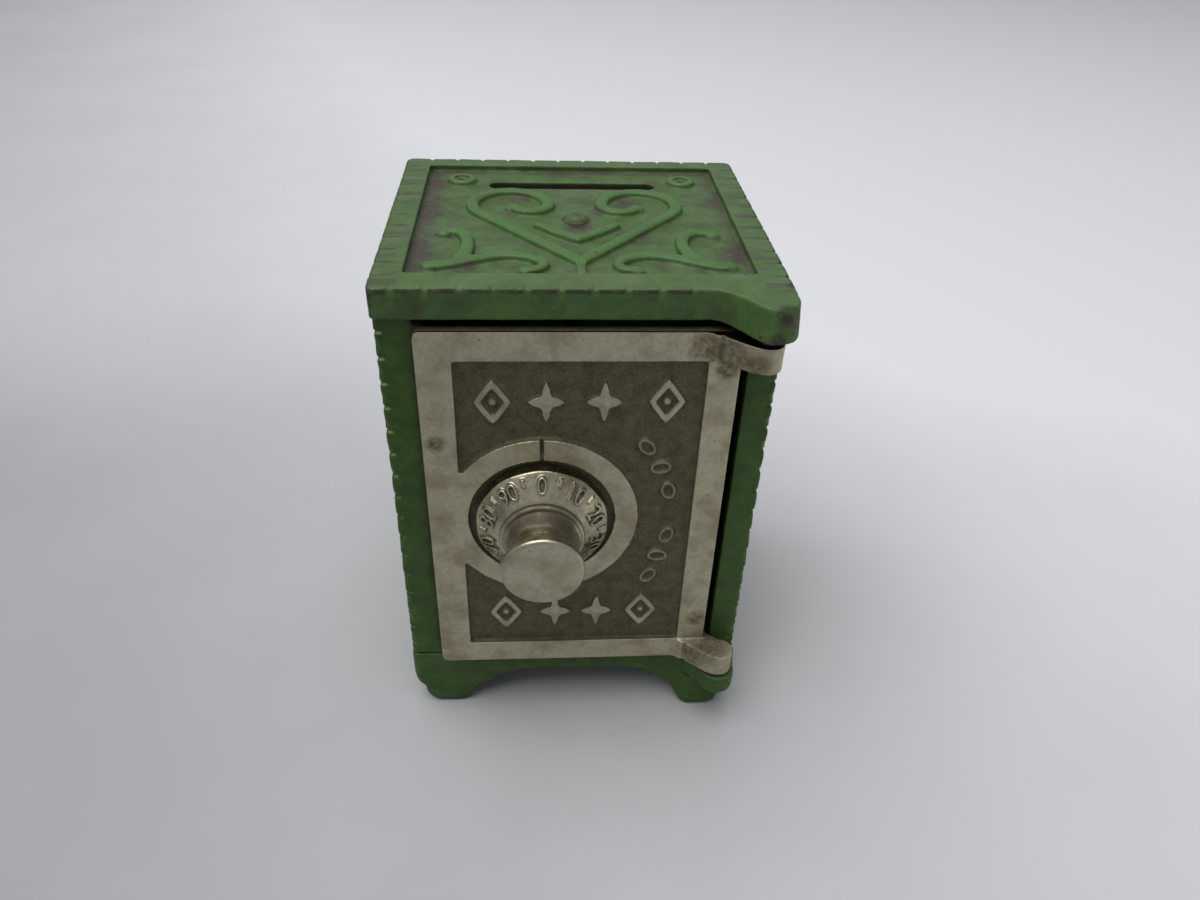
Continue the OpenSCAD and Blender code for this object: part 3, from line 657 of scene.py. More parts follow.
def wornNickel(name, look):
    material, shader = startMaterial(name)
    colour = mix(pattern(*look["tarnish"]), look["plate"], look["dull"])
    colour = mix(pattern(*look["cloud"]), colour, look["dull"])
    # darker in corners and recesses by the hollows' mask: grime, and partly painted shade
    dirt = spread(hollows(look["reach"]), *look["dirt"])
    colour = mix(dirt, colour, look["grime"])
    pit = spread(cells(look["pitScale"]), *look["pitRange"])
    pitted = allOf(pit, pattern(*look["pitNoise"]))
    brown = allOf(pattern(*look["brown"]), look["brownShare"] * look["pits"])
    rust = plus(allOf(pitted, look["pits"]), brown)
    stains = 0.0
    for centre, radius in look["stains"]:
        stained = allOf(patch(onFront(*centre), radius), pattern(*look["cloudy"]))
        colour = mix(stained, colour, look["stainColour"])
        stains = plus(stains, stained)
    colour = mix(rust, colour, look["rust"])
    # painted shadow on the door's top faces, which lie in the shade under the lid
    if look["shade"]:
        shaded = allOf(upward(), between(2, *look["shade"]))
        colour = mix(shaded, colour, look["shadeColour"])
    rough = pattern(*look["scratch"], *look["rough"], look["scratchStretch"])
    rough = plus(rough, allOf(dirt, look["dirtRough"]))
    rough = plus(rough, allOf(plus(rust, stains), look["rustRough"]))
    metal = minus(1.0, allOf(plus(rust, dirt), look["lessMetal"]))
    height = minus(allOf(noise(*look["grain"]), look["grainShare"]), pitted)
    if look["field"]:
        colour, rough, metal, height = nickelField(look, colour, rough, metal, height)
    feed(shader.inputs["Metallic"], metal)
    paint(shader, colour, rough, height, look["bump"])
    return material


steelLook = dict(nickelLook, plate=(0.34, 0.32, 0.29), dull=(0.19, 0.16, 0.13), rough=(0.35, 0.49),
                 pits=0.8, bump=0.05)
ironLook = dict(nickelLook, plate=(0.15, 0.14, 0.13), dull=(0.085, 0.07, 0.055), rough=(0.48, 0.62),
                pits=1.0, bump=0.12)
brightLook = dict(nickelLook, plate=(0.52, 0.48, 0.34), dull=(0.225, 0.195, 0.125), rough=(0.18, 0.34),
                  pits=0.5, reach=1.1, dirt=(0.10, 0.30, 0, 0.9))
# stains as seen from the front: right, up and forward, then the radius
doorLook = dict(
    # its top faces get painted shadow, the shade under the lid
    nickelLook, shade=(93.1, 93.7), shadeColour=(0.008, 0.007, 0.005),
    field=(32.5, 32.1), fieldColour=(0.138, 0.126, 0.071), fieldNoise=(380, 6, 0.7, 0.3, 0.7, 0.40, 1.0),
    fieldRough=0.16, fieldLessMetal=0.35, pebbles=1900, pebbleRange=(0.15, 0.5, 0.20, 0.0), pebbleHigh=2.2,
    stains=(((24.8, 91.4, 34.4), 5.2), ((20.6, 91.4, 32.7), 4.4), ((28.6, 91.0, 37.4), 3.0),
            ((24.6, 87.0, 32.7), 2.6), ((24.8, 18.4, 34.6), 3.6), ((28.2, 20.8, 35.0), 5.0),
            ((-25.6, 72.0, 32.7), 2.4), ((25.0, 27.0, 32.7), 2.8)))
knobLook = dict(
    nickelLook, plate=(0.455, 0.428, 0.32), rough=(0.25, 0.39), pits=0.5,
    # the wide reach darkens the dish of the knob with grime and painted shade
    reach=3.4, dirt=(0.10, 0.50, 0, 0.9),
    stainColour=(0.138, 0.118, 0.084), cloudy=(900, 6, 0.75, 0.20, 0.46, 0.25, 0.95),
    stains=[((dialX + x, dialZ + z, forward), radius) for x, z, forward, radius in (
        (-0.8, 6.6, 39.6, 3.2), (-3.4, 5.8, 39.4, 3.0), (2.2, 6.2, 39.6, 3.2), (4.6, 5.0, 40.4, 3.4),
        (-5.6, 4.0, 40.4, 3.0), (-4.2, -5.4, 40.4, 3.4))])

# the three worn edges of the lid; the side ones get painted shade in their notches
frontEdge = {
    "along": 0, "start": -30.9, "pitch": lobePitch["front"], "until": 19.8, "across": 1,
    "band": (middleY - 31.35, middleY - 31.62), "seam": (middleY - 30.4, middleY - 31.4),
    "drop": 2, "top": (lidTop - 1.1, lidTop - 0.75), "wear": 0.85, "dark": 0.0,
}
leftEdge = {
    "along": 1, "start": middleY - 31.8, "pitch": lobePitch["side"], "until": middleY + 33, "across": 0,
    "band": (-33.9, -34.4), "seam": (-31.0, -31.8),
    "drop": 2, "top": (lidTop - 1.6, lidTop - 1.0), "wear": 0.55, "dark": 0.75,
}
rightEdge = dict(leftEdge, band=(34.0, 34.5), seam=(31.8, 32.6), wear=0.45, dark=0.55)
lidEnamelLook = dict(
    greenLook, dustShare=0.30, bare=(0.036, 0.028, 0.019), specular=0.30,
    ground=(lidTop - 1.15, lidTop - 0.65),
    # the room under the slot gets painted shade
    pit=(onTop(-20, 16.5, 0), onTop(20, 22.5, lidTop - 1.5)), pitFade=(0.3, 0.3, 0.6),
    # colour of the brown smears and of the painted wall shadows
    smearColour=(0.070, 0.062, 0.046), smearNoise=(330, 5, 0.6, 0.30, 0.60, 0.25, 0.9),
    smearHigh=lidTop - 1.2, smearLevels=(lidTop - 0.9, lidTop - 0.3),
    smears=((0.3, -2.4, 4.4), (-28.4, 4, 5.0), (-28.6, -14, 6.0), (28.4, -15, 5.4), (28.8, 10, 5.0),
            (10.4, -6.5, 4.2), (10.2, 9.0, 4.4), (-11.0, 11.5, 3.2), (4.6, 5.0, 3.0), (-19.5, -21.5, 3.4),
            (-27.5, 19.0, 4.6)),
    rubs=((0.3, -1.9, 1.2, 2.5), (31.9, -38.6, 1.2, 2.6), (30.6, -40.4, 5.0, 1.9), (34.4, -30.0, 0.4, 1.3),
          (-34.7, -31.7, 1.4, 1.7), (-34.7, -31.7, 3.2, 1.2)),
    panel=(29.5, 26.45), panelMiddle=middleY + 1.05, panelFade=0.2,
    cordColour=(0.075, 0.178, 0.042), cordLevels=(lidTop - 0.95, lidTop - 0.55),
    cordNoise=(300, 4, 0.55, 0.30, 0.62, 0.25, 0.75),
    # axis, start, end and amount of the painted shadow along each wall
    banks=((0, -24.4, -28.4, 0.9), (0, 26.0, 29.2, 0.6),
           (1, middleY - 23.6, middleY - 25.2, 0.5), (1, middleY + 25.0, middleY + 27.0, 0.5)),
    bankLevels=(lidTop - 0.9, lidTop - 0.5), bankNoise=(240, 5, 0.65, 0.30, 0.58, 0.35, 1),
    border=(29.7, 30.3), stripes=(300, 3, 0.6, 0.50, 0.62, 0, 0.6, (0.10, 1, 0.10)),
    edges=(frontEdge, leftEdge, rightEdge))
# the lower lip of each notch on the front corners of the case gets a painted highlight, paler paint that
# fades towards the bottom
cornerEdge = {
    "along": 2, "start": 18.40, "pitch": lobePitch["case"], "until": 100, "across": 1,
    "band": (-31.5, -31.6), "seam": (middleY - 29.3, middleY - 30.0),
    "drop": 0, "top": (-32.9, -33.7), "wear": 0.0, "dark": 0.9, "fade": (35, 92), "tint": (0.42, 0.50, 0.33),
}
caseEnamelLook = dict(greenLook, deep=(0.029, 0.068, 0.013), fresh=(0.060, 0.125, 0.018), dustShare=0.24,
                      specular=0.27, edges=(cornerEdge,))

print("materials")
enamel = greenEnamel("greenEnamel", caseEnamelLook)
lidEnamel = greenEnamel("lidEnamel", lidEnamelLook)
doorNickel = wornNickel("doorNickel", doorLook)
knobNickel = wornNickel("knobNickel", knobLook)
dialNickel = wornNickel("dialNickel", brightLook)
plainSteel = wornNickel("plainSteel", steelLook)
bareIron = wornNickel("bareIron", ironLook)


def finishPiece(piece, material, body, slot, *nodes):
    piece.data.materials.clear()
    piece.data.materials.append(material)
    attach(piece, body)
    if nodes:
        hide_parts(*nodes)
    print(piece.name, len(piece.data.polygons), "faces")


# lid
lidLook = {
    "voxel": 0.26, "soften": 2, "swell": (5.0, 0.16), "grain": (1.1, 0.05),
    "recess": 1.3, "plate": 2.6, "rim": 3.4, "cornerRadius": 1.6, "edgeRadius": 0.55,
    "earLean": 1.7, "earLeanRun": 4.0,
    "borderSide": 5.4, "borderFront": 6.4, "borderBack": 4.3,
    "earRadius": 4.6, "earRun": 9.0, "earArc": (-84, 10), "boreRadius": 1.46, "boreDepth": 3.9,
    "slotLength": 34, "slotWidth": 3.4, "slotFromBack": 12.4,
    "cord": 1.28, "cordRise": 1.12,
    # widths of a cord: at its start, change, swell in the middle, change at the tip, points until it is even
    "bow": (12.45, 6.9), "bowRadius": 7.3, "curlRadius": 3.5, "curlArc": (338, 188), "tip": (0, -19.4),
    "heartWidths": (0.90, 0.15, 0, 0, 14), "heartEnd": 1.35,
    "stem": (((25.4, -21.4), (20.5, -21.6), (14.8, -13.8), (8.2, -18.2), 18),
             ((7.2, -19.0), (5.5, -20.6), (6.6, -23.2), (9.4, -23.1), 9)),
    "stemWidths": (1.06, -0.24, 0.10, 0, 22), "stemEnds": (((25.6, -21.2), 1.25), ((9.4, -23.0), 1.2)),
    # the two hooks in the front corners aren't quite alike
    "hookStart": (20.6, -18.6), "hookWidths": (1.30, 0, -0.30, -0.42, 14), "hookEnd": 1.25,
    "hook": {-1: ((18.6, -13.8), (19.8, -3.4), (24.2, -7.2)), 1: ((16.6, -13.8), (18.6, -3.4), (24.8, -7.3))},
    "joint": (20.4, -18.3), "jointSize": 1.5,
    "tail": ((0, -18.6), (0, -26.6)), "tailThin": 0.72, "tailLow": 0.62,
    "chevron": ((-7.7, -3.0), (0, -9.9), (7.7, -3.0)), "chevronWidths": (0.98, 0.26, 7, 5),
    "rodY": 1.0, "rodRadius": 1.9,
    "ringRadius": 2.0, "ringHalf": 1.0, "ringRise": 0.95, "rivetRadius": 1.5,
    "frontStart": -36.35, "frontCount": 10, "underTop": 0.01,
    "frontLobes": {"pitch": lobePitch["front"], "crown": 0.12, "bite": 0.16,
                   "groove": 0.50, "grooveHalf": 0.72, "grooveReach": 1.7},
    "sideLobes": {"pitch": lobePitch["side"], "crown": 0.14, "bite": 0.36,
                  "groove": 0.40, "grooveHalf": 0.42, "grooveReach": 3.9},
    "backLobes": {"pitch": lobePitch["back"], "crown": 0.05, "bite": 0.16,
                  "groove": 0.36, "grooveHalf": 0.45, "grooveReach": 3.0},
}


def earOutline(look, edgeY, sideX):
    steps, radius, run = 14, look["earRadius"], look["earRun"]
    sweep = [(hingeX - run + run * i / steps,
              edgeY + (hingeY - radius - edgeY) * (1 - math.cos(math.pi * i / steps)) / 2)
             for i in range(steps + 1)]
    return sweep + arcPoints((hingeX, hingeY), radius, *look["earArc"], steps) + [(sideX, edgeY)]


def cordWidths(path, width, shape):
    start, change, swell, tip, even = shape
    found = []
    for i in range(len(path)):
        t, way = min(1, i / even), i / (len(path) - 1)
        found.append(width * (start + change * t + swell * math.sin(math.pi * t) + tip * way ** 3))
    return found


def heartPath(look):  # curl, bow and run to the tip
    bow, radius, tip = look["bow"], look["bowRadius"], look["tip"]
    turn = math.degrees(math.atan2(bow[1] - tip[1], bow[0] - tip[0])
                        - math.asin(radius / math.dist(bow, tip)))
    curlCentre = (bow[0] - radius + look["curlRadius"], bow[1])
    path = arcPoints(curlCentre, look["curlRadius"], *look["curlArc"], 14)
    path += arcPoints(bow, radius, 180, turn - 90, 30)
    return path + linePoints(path[-1], tip, 12)[1:]


def scrolls(look, ground):
    w, rise = look["cord"], look["cordRise"]
    parts = []
    for side in (-1, 1):
        def cord(name, path, widths, side=side):
            return ribbon(name, [(side * x, y) for x, y in path], cordWidths(path, w, widths), rise, ground)

        def end(name, centre, size, side=side):
            return bead(name, (side * centre[0], centre[1]), w * size, rise, ground)

        heart = heartPath(look)
        stem = bezierPoints(*look["stem"][0]) + bezierPoints(*look["stem"][1])
        hook = look["hook"][side]
        parts += [
            cord("heart", heart, look["heartWidths"]), end("heartEnd", heart[0], look["heartEnd"]),
            cord("cornerScroll", stem, look["stemWidths"]),
            cord("cornerHook", bezierPoints(look["hookStart"], *hook, 18), look["hookWidths"]),
            end("scrollJoint", look["joint"], look["jointSize"]),
        ]
        parts += [end("scrollEnd", *spot) for spot in (*look["stemEnds"], (hook[2], look["hookEnd"]))]
        rod = (side * rearRod[0], rearRod[1])
        parts.append(ribbon("rodRing", circlePoints(rod, look["ringRadius"]), look["ringHalf"],
                            look["ringRise"], ground, closed=True))
    parts.append(ribbon("heartTail", linePoints(*look["tail"], 8), w * look["tailThin"],
                        rise * look["tailLow"], ground))
    left, middle, right = look["chevron"]
    full, less, start, run = look["chevronWidths"]
    widths = [w * (full - less * max(0, abs(i) - start) / run) for i in range(-12, 13)]
    arms = linePoints(left, middle, 12) + linePoints(middle, right, 12)[1:]
    parts.append(ribbon("chevron", arms, widths, rise, ground))
    return parts


def makeLid(look):
    right, back = lidSize[0] / 2, lidSize[1] / 2
    left, front = -right, -back
    under, top = lidLow[2], lidHigh[2]
    panel = top - look["recess"]
    r = look["cornerRadius"]
    outline = (arcPoints((left + r, front + r), r, 180, 270, 5)
               + earOutline(look, front, right)
               + arcPoints((right - r, back - r), r, 0, 90, 5)
               + arcPoints((left + r, back - r), r, 90, 180, 5))
    # the front of the ear slopes
    leans = [look["earLean"] * min(1, max(0, (front - y) / look["earLeanRun"])) for x, y in outline]
    rim = softPrism("rim", outline, under, top, look["edgeRadius"], leans)
    half = (look["slotLength"] - look["slotWidth"]) / 2
    slotY, ends = back - look["slotFromBack"], look["slotWidth"] / 2
    slot = arcPoints((half, slotY), ends, -90, 90, 12) + arcPoints((-half, slotY), ends, 90, 270, 12)
    rim = carve(rim, [
        block("panelCut", (left + look["borderSide"], front + look["borderFront"], panel),
              (right - look["borderSide"], back - look["borderBack"], top + 2)),
        block("underCut", (left + look["rim"], front + look["rim"], under - 2),
              (right - look["rim"], back - look["rim"], panel - look["plate"])),
        prism("slotCut", slot, under, top + 1),
        prism("boreCut", circlePoints((hingeX, hingeY), look["boreRadius"]), under - 2,
              under + look["boreDepth"]),
    ])
    piece = fuse("castLid", [rim] + scrolls(look, panel))
    castSkin(piece, look)
    run = look["frontCount"] * look["frontLobes"]["pitch"]
    lobeEdge(piece, (look["frontStart"], front, top), (look["frontStart"] + run, front, top), (0, -1, 1),
             look["frontLobes"])
    lobeEdge(piece, (left, back, top), (right, back, top), (0, 1, 1), look["backLobes"])
    for x, out in ((left, -1), (right, 1)):
        lobeEdge(piece, (x, front, top), (x, back, top), (out, 0, 1), look["sideLobes"])
    rods = [prism("rodCut", circlePoints((0, look["rodY"]), look["rodRadius"]), under - 3, panel + 0.1)]
    rods += [prism("rodCut", circlePoints((x, rearRod[1]), look["rivetRadius"]), under - 3, top + 2)
             for x in (-rearRod[0], rearRod[0])]
    carve(piece, rods)
    castLumps(piece, look)
    co = pointsOf(piece)
    co[:, 2] = np.minimum(co[:, 2], top - look["underTop"])
    movePoints(piece, co)
    finishPiece(piece, lidEnamel, "case", "green_paint", "lid")


makeLid(lidLook)

# the two rear rods, with their punched ends
rodLook = {
    "radius": 1.6, "low": 7.4, "high": 100.8, "swell": (1.6, 0.05), "grain": (0.6, 0.03),
    # steps of the profile, as changes from the radius and from either end
    "foot": ((-0.2, 0), (0, 0.3)),
    "head": ((0, -0.4), (-0.02, 0.05), (-0.25, 0.12)),
    "punch": ((1.0, -0.05), (0.65, -0.25), (0.55, -0.5), (0.45, -1.3), (0, -1.3)),  # as radius and depth
}


def makeRods(look):
    r, low, high = look["radius"], look["low"], look["high"]
    profile = [(0, low)] + [(r + out, low + up) for out, up in look["foot"]]
    profile += [(r + out, high + up) for out, up in look["head"]]
    profile += [(out, high + up) for out, up in look["punch"]]
    for side, node, name in ((-1, "left_tie_rod", "leftRod"), (1, "right_tie_rod", "rightRod")):
        piece = turned(name, profile, (side * rearRod[0], rearRod[1]), onTop, 64)
        castLumps(piece, look)
        finishPiece(piece, lidEnamel, "case", "plain_steel", node)


makeRods(rodLook)

# sides, back and base: the solids, in one cast skin
caseLook = {
    "voxel": 0.30, "soften": 2, "swell": (6.0, 0.16), "grain": (1.3, 0.05),
    "lobes": {"pitch": lobePitch["case"], "crown": 0.08, "bite": 0.06,
              "groove": 0.50, "grooveHalf": 0.58, "grooveReach": 2.0},
    "lobeHeights": (13.55, 97.70), "baseSoften": 26,
    "earCut": ((20, -46, 8), (40, -32.4, 10.8)),  # the lower ear is thinner than the rim of the base
    "gap": ((-28.1, -32, 94.2), (-20, -26.6, 96.2)),  # the space over the door runs behind its corner
    # inner side of a foot and shoulder of the arch beside it, as (distance from the middle, height)
    "footSide": ((25.6, -1), (24.9, 0), (23.7, 0.7), (22.8, 1.8), (21.9, 3.4), (20.8, 5.3), (18.0, 5.9),
                 (15.0, 5.9), (15.0, -1)),
    "shoulder": ((21.6, 5.5), (19.5, 6.1), (17.8, 7.0), (15.6, 8.2), (12.4, 9.2), (9.2, 9.75), (9.2, 10.8),
                 (21.6, 10.8)),
    "cutFront": 33, "cutSide": 36,
    "frontWalls": ((26.8, 30.3), (-30.9, -27.2)), "sideWalls": ((31.0, 34.7), (-34.7, -31.0)),
    "footToSide": -1.8, "baseMiddle": 0.4,
    # the right front foot comes forward; start and run of that at its sides, behind, in front and on top
    "toe": 2.8, "toeSides": ((19.6, 6.0), (33.6, -2.4)), "toeBehind": (-26.8, -3.6), "toeFront": (-34, 2.5),
    "toeTop": (10.7, -1.2),
    # inside its outer faces the case reaches into the lid, so that no light shows through the joint
    "tuck": 0.45, "tuckFrom": 0.6, "tuckRun": 1,
}


# feet and arches of the base, as cutters and as added parts
def archParts(look):
    cutters, added = [], []
    for side in (-1, 1):
        foot = [(side * x, z) for x, z in look["footSide"]]
        shoulder = [(side * x, z) for x, z in look["shoulder"]]
        cutters.append(prism("footCut", foot, -look["cutFront"], look["cutFront"], onFront))
        added += [prism("shoulder", shoulder, low, high, onFront) for low, high in look["frontWalls"]]
        shift = look["baseMiddle"] + side * look["footToSide"]
        foot = [(x + shift, z) for x, z in foot]
        shoulder = [(x + shift, z) for x, z in shoulder]
        cutters.append(prism("footCut", foot, -look["cutSide"], look["cutSide"], onSide))
        added += [prism("shoulder", shoulder, low, high, onSide) for low, high in look["sideWalls"]]
    return cutters, added


def sweepToe(piece, look):
    co = pointsOf(piece)
    x, y, z = co.T
    start, end = look["toeSides"]
    share = ramp(x, *start) * ramp(x, *end)
    share = share * share * (3 - 2 * share)
    share *= ramp(y, *look["toeBehind"]) * ramp(y, *look["toeFront"]) * ramp(z, *look["toeTop"])
    co[:, 1] -= look["toe"] * share
    movePoints(piece, co)


def tuckUnder(piece, look):
    co = pointsOf(piece)
    inside = ramp(sideHigh[0] - look["tuckFrom"] - np.abs(co[:, 0]), 0, 1)
    inside *= ramp(co[:, 1] + middleY - sideLow[1], look["tuckFrom"], 1)
    co[:, 2] += look["tuck"] * inside * ramp(co[:, 2], lidLow[2] - look["tuckRun"], look["tuckRun"])
    movePoints(piece, co)


def makeCase(look):
    right = sideHigh[0] - middleX
    low, high = look["lobeHeights"]
    front, back = sideLow[1] - middleY, sideHigh[1] - middleY
    for node, name, side in (("left_side", "castLeftSide", -1), ("right_side", "castRightSide", 1)):
        piece = fuse(name, [copyOf(node)])
        if side < 0:
            carve(piece, [block("gapCut", *look["gap"])])
        castSkin(piece, look)
        x = side * right
        for y, out in ((front, -1), (back, 1)):
            lobeEdge(piece, (x, y, low), (x, y, high), (side, out, 0), look["lobes"])
        tuckUnder(piece, look)
        castLumps(piece, look)
        finishPiece(piece, enamel, "case", "green_paint", node)
    for node, name in (("back_panel", "castBack"), ("base", "castBase")):
        piece = fuse(name, [copyOf(node)])
        soften = look["soften"]
        if node == "base":
            cutters, added = archParts(look)
            carve(piece, [block("earCut", *look["earCut"])] + cutters)
            piece = fuse(name, [piece] + added)
            soften = look["baseSoften"]
        castSkin(piece, dict(look, soften=soften))
        if node == "base":
            sweepToe(piece, look)
        else:
            tuckUnder(piece, look)
        castLumps(piece, look)
        finishPiece(piece, enamel, "case", "green_paint", node)


makeCase(caseLook)

# door with its arms, ornaments and chain links
ornamentLook = {
    "voxel": 0.25, "soften": 2, "swell": (7.0, 0.05), "grain": (1.4, 0.02),
    "front": 32.7, "field": 31.7, "rise": 0.8,
    "topRow": ((-15.4, 80.4), (-6.1, 80.4), (4.05, 80.4), (15.0, 80.4)),
    "bottomRow": ((-14.3, 29.6), (-4.35, 29.6), (4.06, 29.6), (13.2, 29.6)),
    "links": ((12.1, 70.6, -50), (14.9, 66.0, 8), (16.7, 60.6, -78),
              (17.1, 49.6, 72), (15.7, 44.4, -6), (14.2, 39.1, 55)),
    "linkLong": 1.75, "linkWide": 1.15, "linkHalf": 0.42, "linkRise": 0.68, "linkSteps": 28,
    "lozenge": (2.7, 3.9), "lozengeHalf": 0.72, "lozengePearl": 1.0,
    "star": (3.3, 4.3, 0.42), "starFrom": -0.4, "starTo": 0.75, "starPearl": 1.25, "starPearlRise": 1.0,
    "mark": (15.2, 17.9), "markHalf": 0.42, "markDeep": 0.75, "markReach": 0.6,
    "armBands": ((16.0, 20.7), (89.4, 94.0)), "armForward": 0.3,
    "armLines": ((22.1, 0.8, -0.28), (23.2, 0.6, 0.40)),  # x, half width and depth of ridge and groove
}


def star(centre, wide, tall, waist):
    points = []
    for i in range(32):
        corner = i / 8
        a = math.pi / 2 * corner
        pull = 1 - (1 - waist) * math.sin(math.pi * (corner % 1))
        points.append((centre[0] + wide * math.cos(a) * pull, centre[1] + tall * math.sin(a) * pull))
    return points


def makeDoor(look):
    parts = [copyOf("door")]
    ground, face, rise = look["field"], look["front"], look["rise"]
    wide, tall = look["lozenge"]
    for n, (x, z) in enumerate(look["topRow"] + look["bottomRow"]):
        if n % 4 in (0, 3):
            diamond = [(x, z + tall), (x + wide, z), (x, z - tall), (x - wide, z)]
            path = []
            for i in range(4):
                path += linePoints(diamond[i], diamond[(i + 1) % 4], 6)[:-1]
            parts.append(ribbon("lozenge", path, look["lozengeHalf"], rise, ground, onFront, True))
            parts.append(bead("lozengePearl", (x, z), look["lozengePearl"], rise, ground, onFront))
        else:
            parts.append(prism("star", star((x, z), *look["star"]), ground + look["starFrom"],
                               ground + look["starTo"], onFront))
            parts.append(bead("starPearl", (x, z), look["starPearl"], look["starPearlRise"], ground, onFront))
    for x, z, tilt in look["links"]:
        a = math.radians(tilt)
        path = []
        for i in range(look["linkSteps"]):
            t = 2 * math.pi * i / look["linkSteps"]
            u, v = look["linkLong"] * math.cos(t), look["linkWide"] * math.sin(t)
            path.append((x + u * math.cos(a) - v * math.sin(a), z + u * math.sin(a) + v * math.cos(a)))
        parts.append(ribbon("link", path, look["linkHalf"], look["linkRise"], ground, onFront, True))
    piece = castSkin(fuse("castDoor", parts), look)
    forward = np.array((0.0, -1.0, 0.0))
    near, far = look["mark"]
    crease(piece, (dialX, -face, dialZ + near), (dialX, -face, dialZ + far), forward,
           look["markHalf"], look["markDeep"], look["markReach"])
    # worn ridge and groove where each arm leaves the door
    y = -face - look["armForward"]
    for low, high in look["armBands"]:
        for x, half, depth in look["armLines"]:
            crease(piece, (x, y, low), (x, y, high), forward, half, depth)
    castLumps(piece, look)
    finishPiece(piece, doorNickel, "door", "nickel_plate", "door")


makeDoor(ornamentLook)

# dial with raised numbers on its cone
dialLook = {
    "voxel": 0.13, "soften": 2, "swell": (3.0, 0.04), "grain": (0.8, 0.02),
    "radius": 12.45, "back": 31.6, "rim": 34.2, "top": 37.6, "topRadius": 7.6, "bore": 1.9,
    "numbers": ("0", "10", "20", "30", "40", "50", "60", "70", "80", "90"),
    "numberSize": 3.9, "numberRadius": 10.35, "numberThick": 0.5, "numberBold": 0.03,
    "scallop": 0.14, "scallopFrom": 10.6, "scallopRun": 1.6,
    "tick": (10.5, 11.9), "tickHalf": 0.36, "tickRise": 0.40,
}


def numberParts(look):
    slope = (look["top"] - look["rim"]) / (look["radius"] - look["topRadius"])
    parts = []
    for n, word in enumerate(look["numbers"]):
        text = bpy.data.curves.new("number", "FONT")
        text.body = word
        text.align_x, text.align_y = "CENTER", "CENTER"
        text.size = look["numberSize"]
        text.extrude = look["numberThick"]
        text.offset = look["numberBold"]
        text.resolution_u = 5
        shape = addObject("number", text)
        graph = bpy.context.evaluated_depsgraph_get()
        mesh = bpy.data.meshes.new_from_object(shape.evaluated_get(graph))
        bpy.data.objects.remove(shape)
        bm = bmesh.new()
        bm.from_mesh(mesh)
        bmesh.ops.triangulate(bm, faces=bm.faces)
        bmesh.ops.remove_doubles(bm, verts=bm.verts, dist=1e-4)
        middle = 2 * math.pi * n / len(look["numbers"])
        for v in bm.verts:
            r = look["numberRadius"] + v.co.y
            turn = middle + v.co.x / look["numberRadius"]
            high = look["top"] - (r - look["topRadius"]) * slope + v.co.z
            v.co = Vector(onFront(dialX + r * math.sin(turn), dialZ + r * math.cos(turn), high)) * mm
        parts.append(newPiece("number", bm, outward=True))
        # upright line half-way to the next number
        half = middle + math.pi / len(look["numbers"])
        low, high = look["tick"]

        def onCone(u, v, w, half=half):
            return onFront(dialX + u * math.sin(half) + v * math.cos(half),
                           dialZ + u * math.cos(half) - v * math.sin(half),
                           look["top"] - (u - look["topRadius"]) * slope + w)

        path = linePoints((low, 0), (high, 0), 8)
        parts.append(ribbon("tick", path, look["tickHalf"], look["tickRise"], 0, onCone))
    return parts


def makeDial(look):
    r, top = look["radius"], look["topRadius"]
    profile = [(look["bore"], look["back"]), (r - 0.3, look["back"]), (r, look["back"] + 0.3),
               (r, look["rim"] - 0.25), (r - 0.25, look["rim"]), (top, look["top"]),
               (look["bore"], look["top"]), (look["bore"], look["back"])]
    parts = [turned("cone", profile, (dialX, dialZ))] + numberParts(look)
    piece = castSkin(fuse("castDial", parts), look)
    # the rim swells a little behind each number
    co = pointsOf(piece)
    u, v = co[:, 0] - dialX, co[:, 2] - dialZ
    away = np.hypot(u, v)
    beat = 0.5 - 0.5 * np.cos(len(look["numbers"]) * np.arctan2(u, v))
    pull = look["scallop"] * beat * ramp(away, look["scallopFrom"], look["scallopRun"])
    co[:, 0] -= u / np.maximum(away, 0.1) * pull
    co[:, 2] -= v / np.maximum(away, 0.1) * pull
    movePoints(piece, co)
    castLumps(piece, look)
    finishPiece(piece, dialNickel, "dial", "bright_nickel", "dial")


makeDial(dialLook)

# knob: collar with a rounded rim, waisted neck and flat face
knobShape = {
    "back": 37.6, "collar": 7.9, "rimRadius": 0.62, "collarThick": 1.6,
    "neck": 6.1, "neckLength": 5.9, "flare": 0.9, "waist": 2.8,
    "face": 7.5, "faceThick": 2.4, "faceEdge": 0.75, "bore": 1.9, "boreDeep": 6.4,
    "swell": (3.5, 0.06), "grain": (0.9, 0.02),
}


def makeKnob(look):
    back, rim, neck, edge = look["back"], look["rimRadius"], look["neck"], look["faceEdge"]
    neckStart = back + look["collarThick"]
    neckEnd = neckStart + look["neckLength"]
    end = neckEnd + look["faceThick"]
    profile = [(0, back + look["boreDeep"]), (look["bore"], back + look["boreDeep"]), (look["bore"], back)]
    profile += arcPoints((look["collar"] - rim, back + rim), rim, -90, 105, 20)
    start = profile[-1]
    waist = (neck, neckStart + look["waist"])
    profile += bezierPoints(start, (start[0] - 0.35, start[1] + 0.1),
                            (neck + 0.25, neckStart + 0.9), waist, 12)[1:]
    profile += bezierPoints(waist, (neck, neckEnd - 1.4), (neck + 0.3, neckEnd - 0.5),
                            (neck + look["flare"], neckEnd), 12)[1:]
    profile += arcPoints((look["face"] - edge, neckEnd + edge), edge, -70, 0, 8)
    profile += arcPoints((look["face"] - edge, end - edge), edge, 0, 90, 10)
    profile += [(r, end) for r in (5.6, 4.4, 3.3, 2.2, 1.1, 0)]
    piece = turned("turnedKnob", profile, (dialX, dialZ), steps=160)
    fine = piece.modifiers.new("fine", "SUBSURF")
    fine.levels = fine.render_levels = 1
    settle(piece)
    castLumps(piece, look)
    finishPiece(piece, knobNickel, "dial", "nickel_plate", "knob")


makeKnob(knobShape)

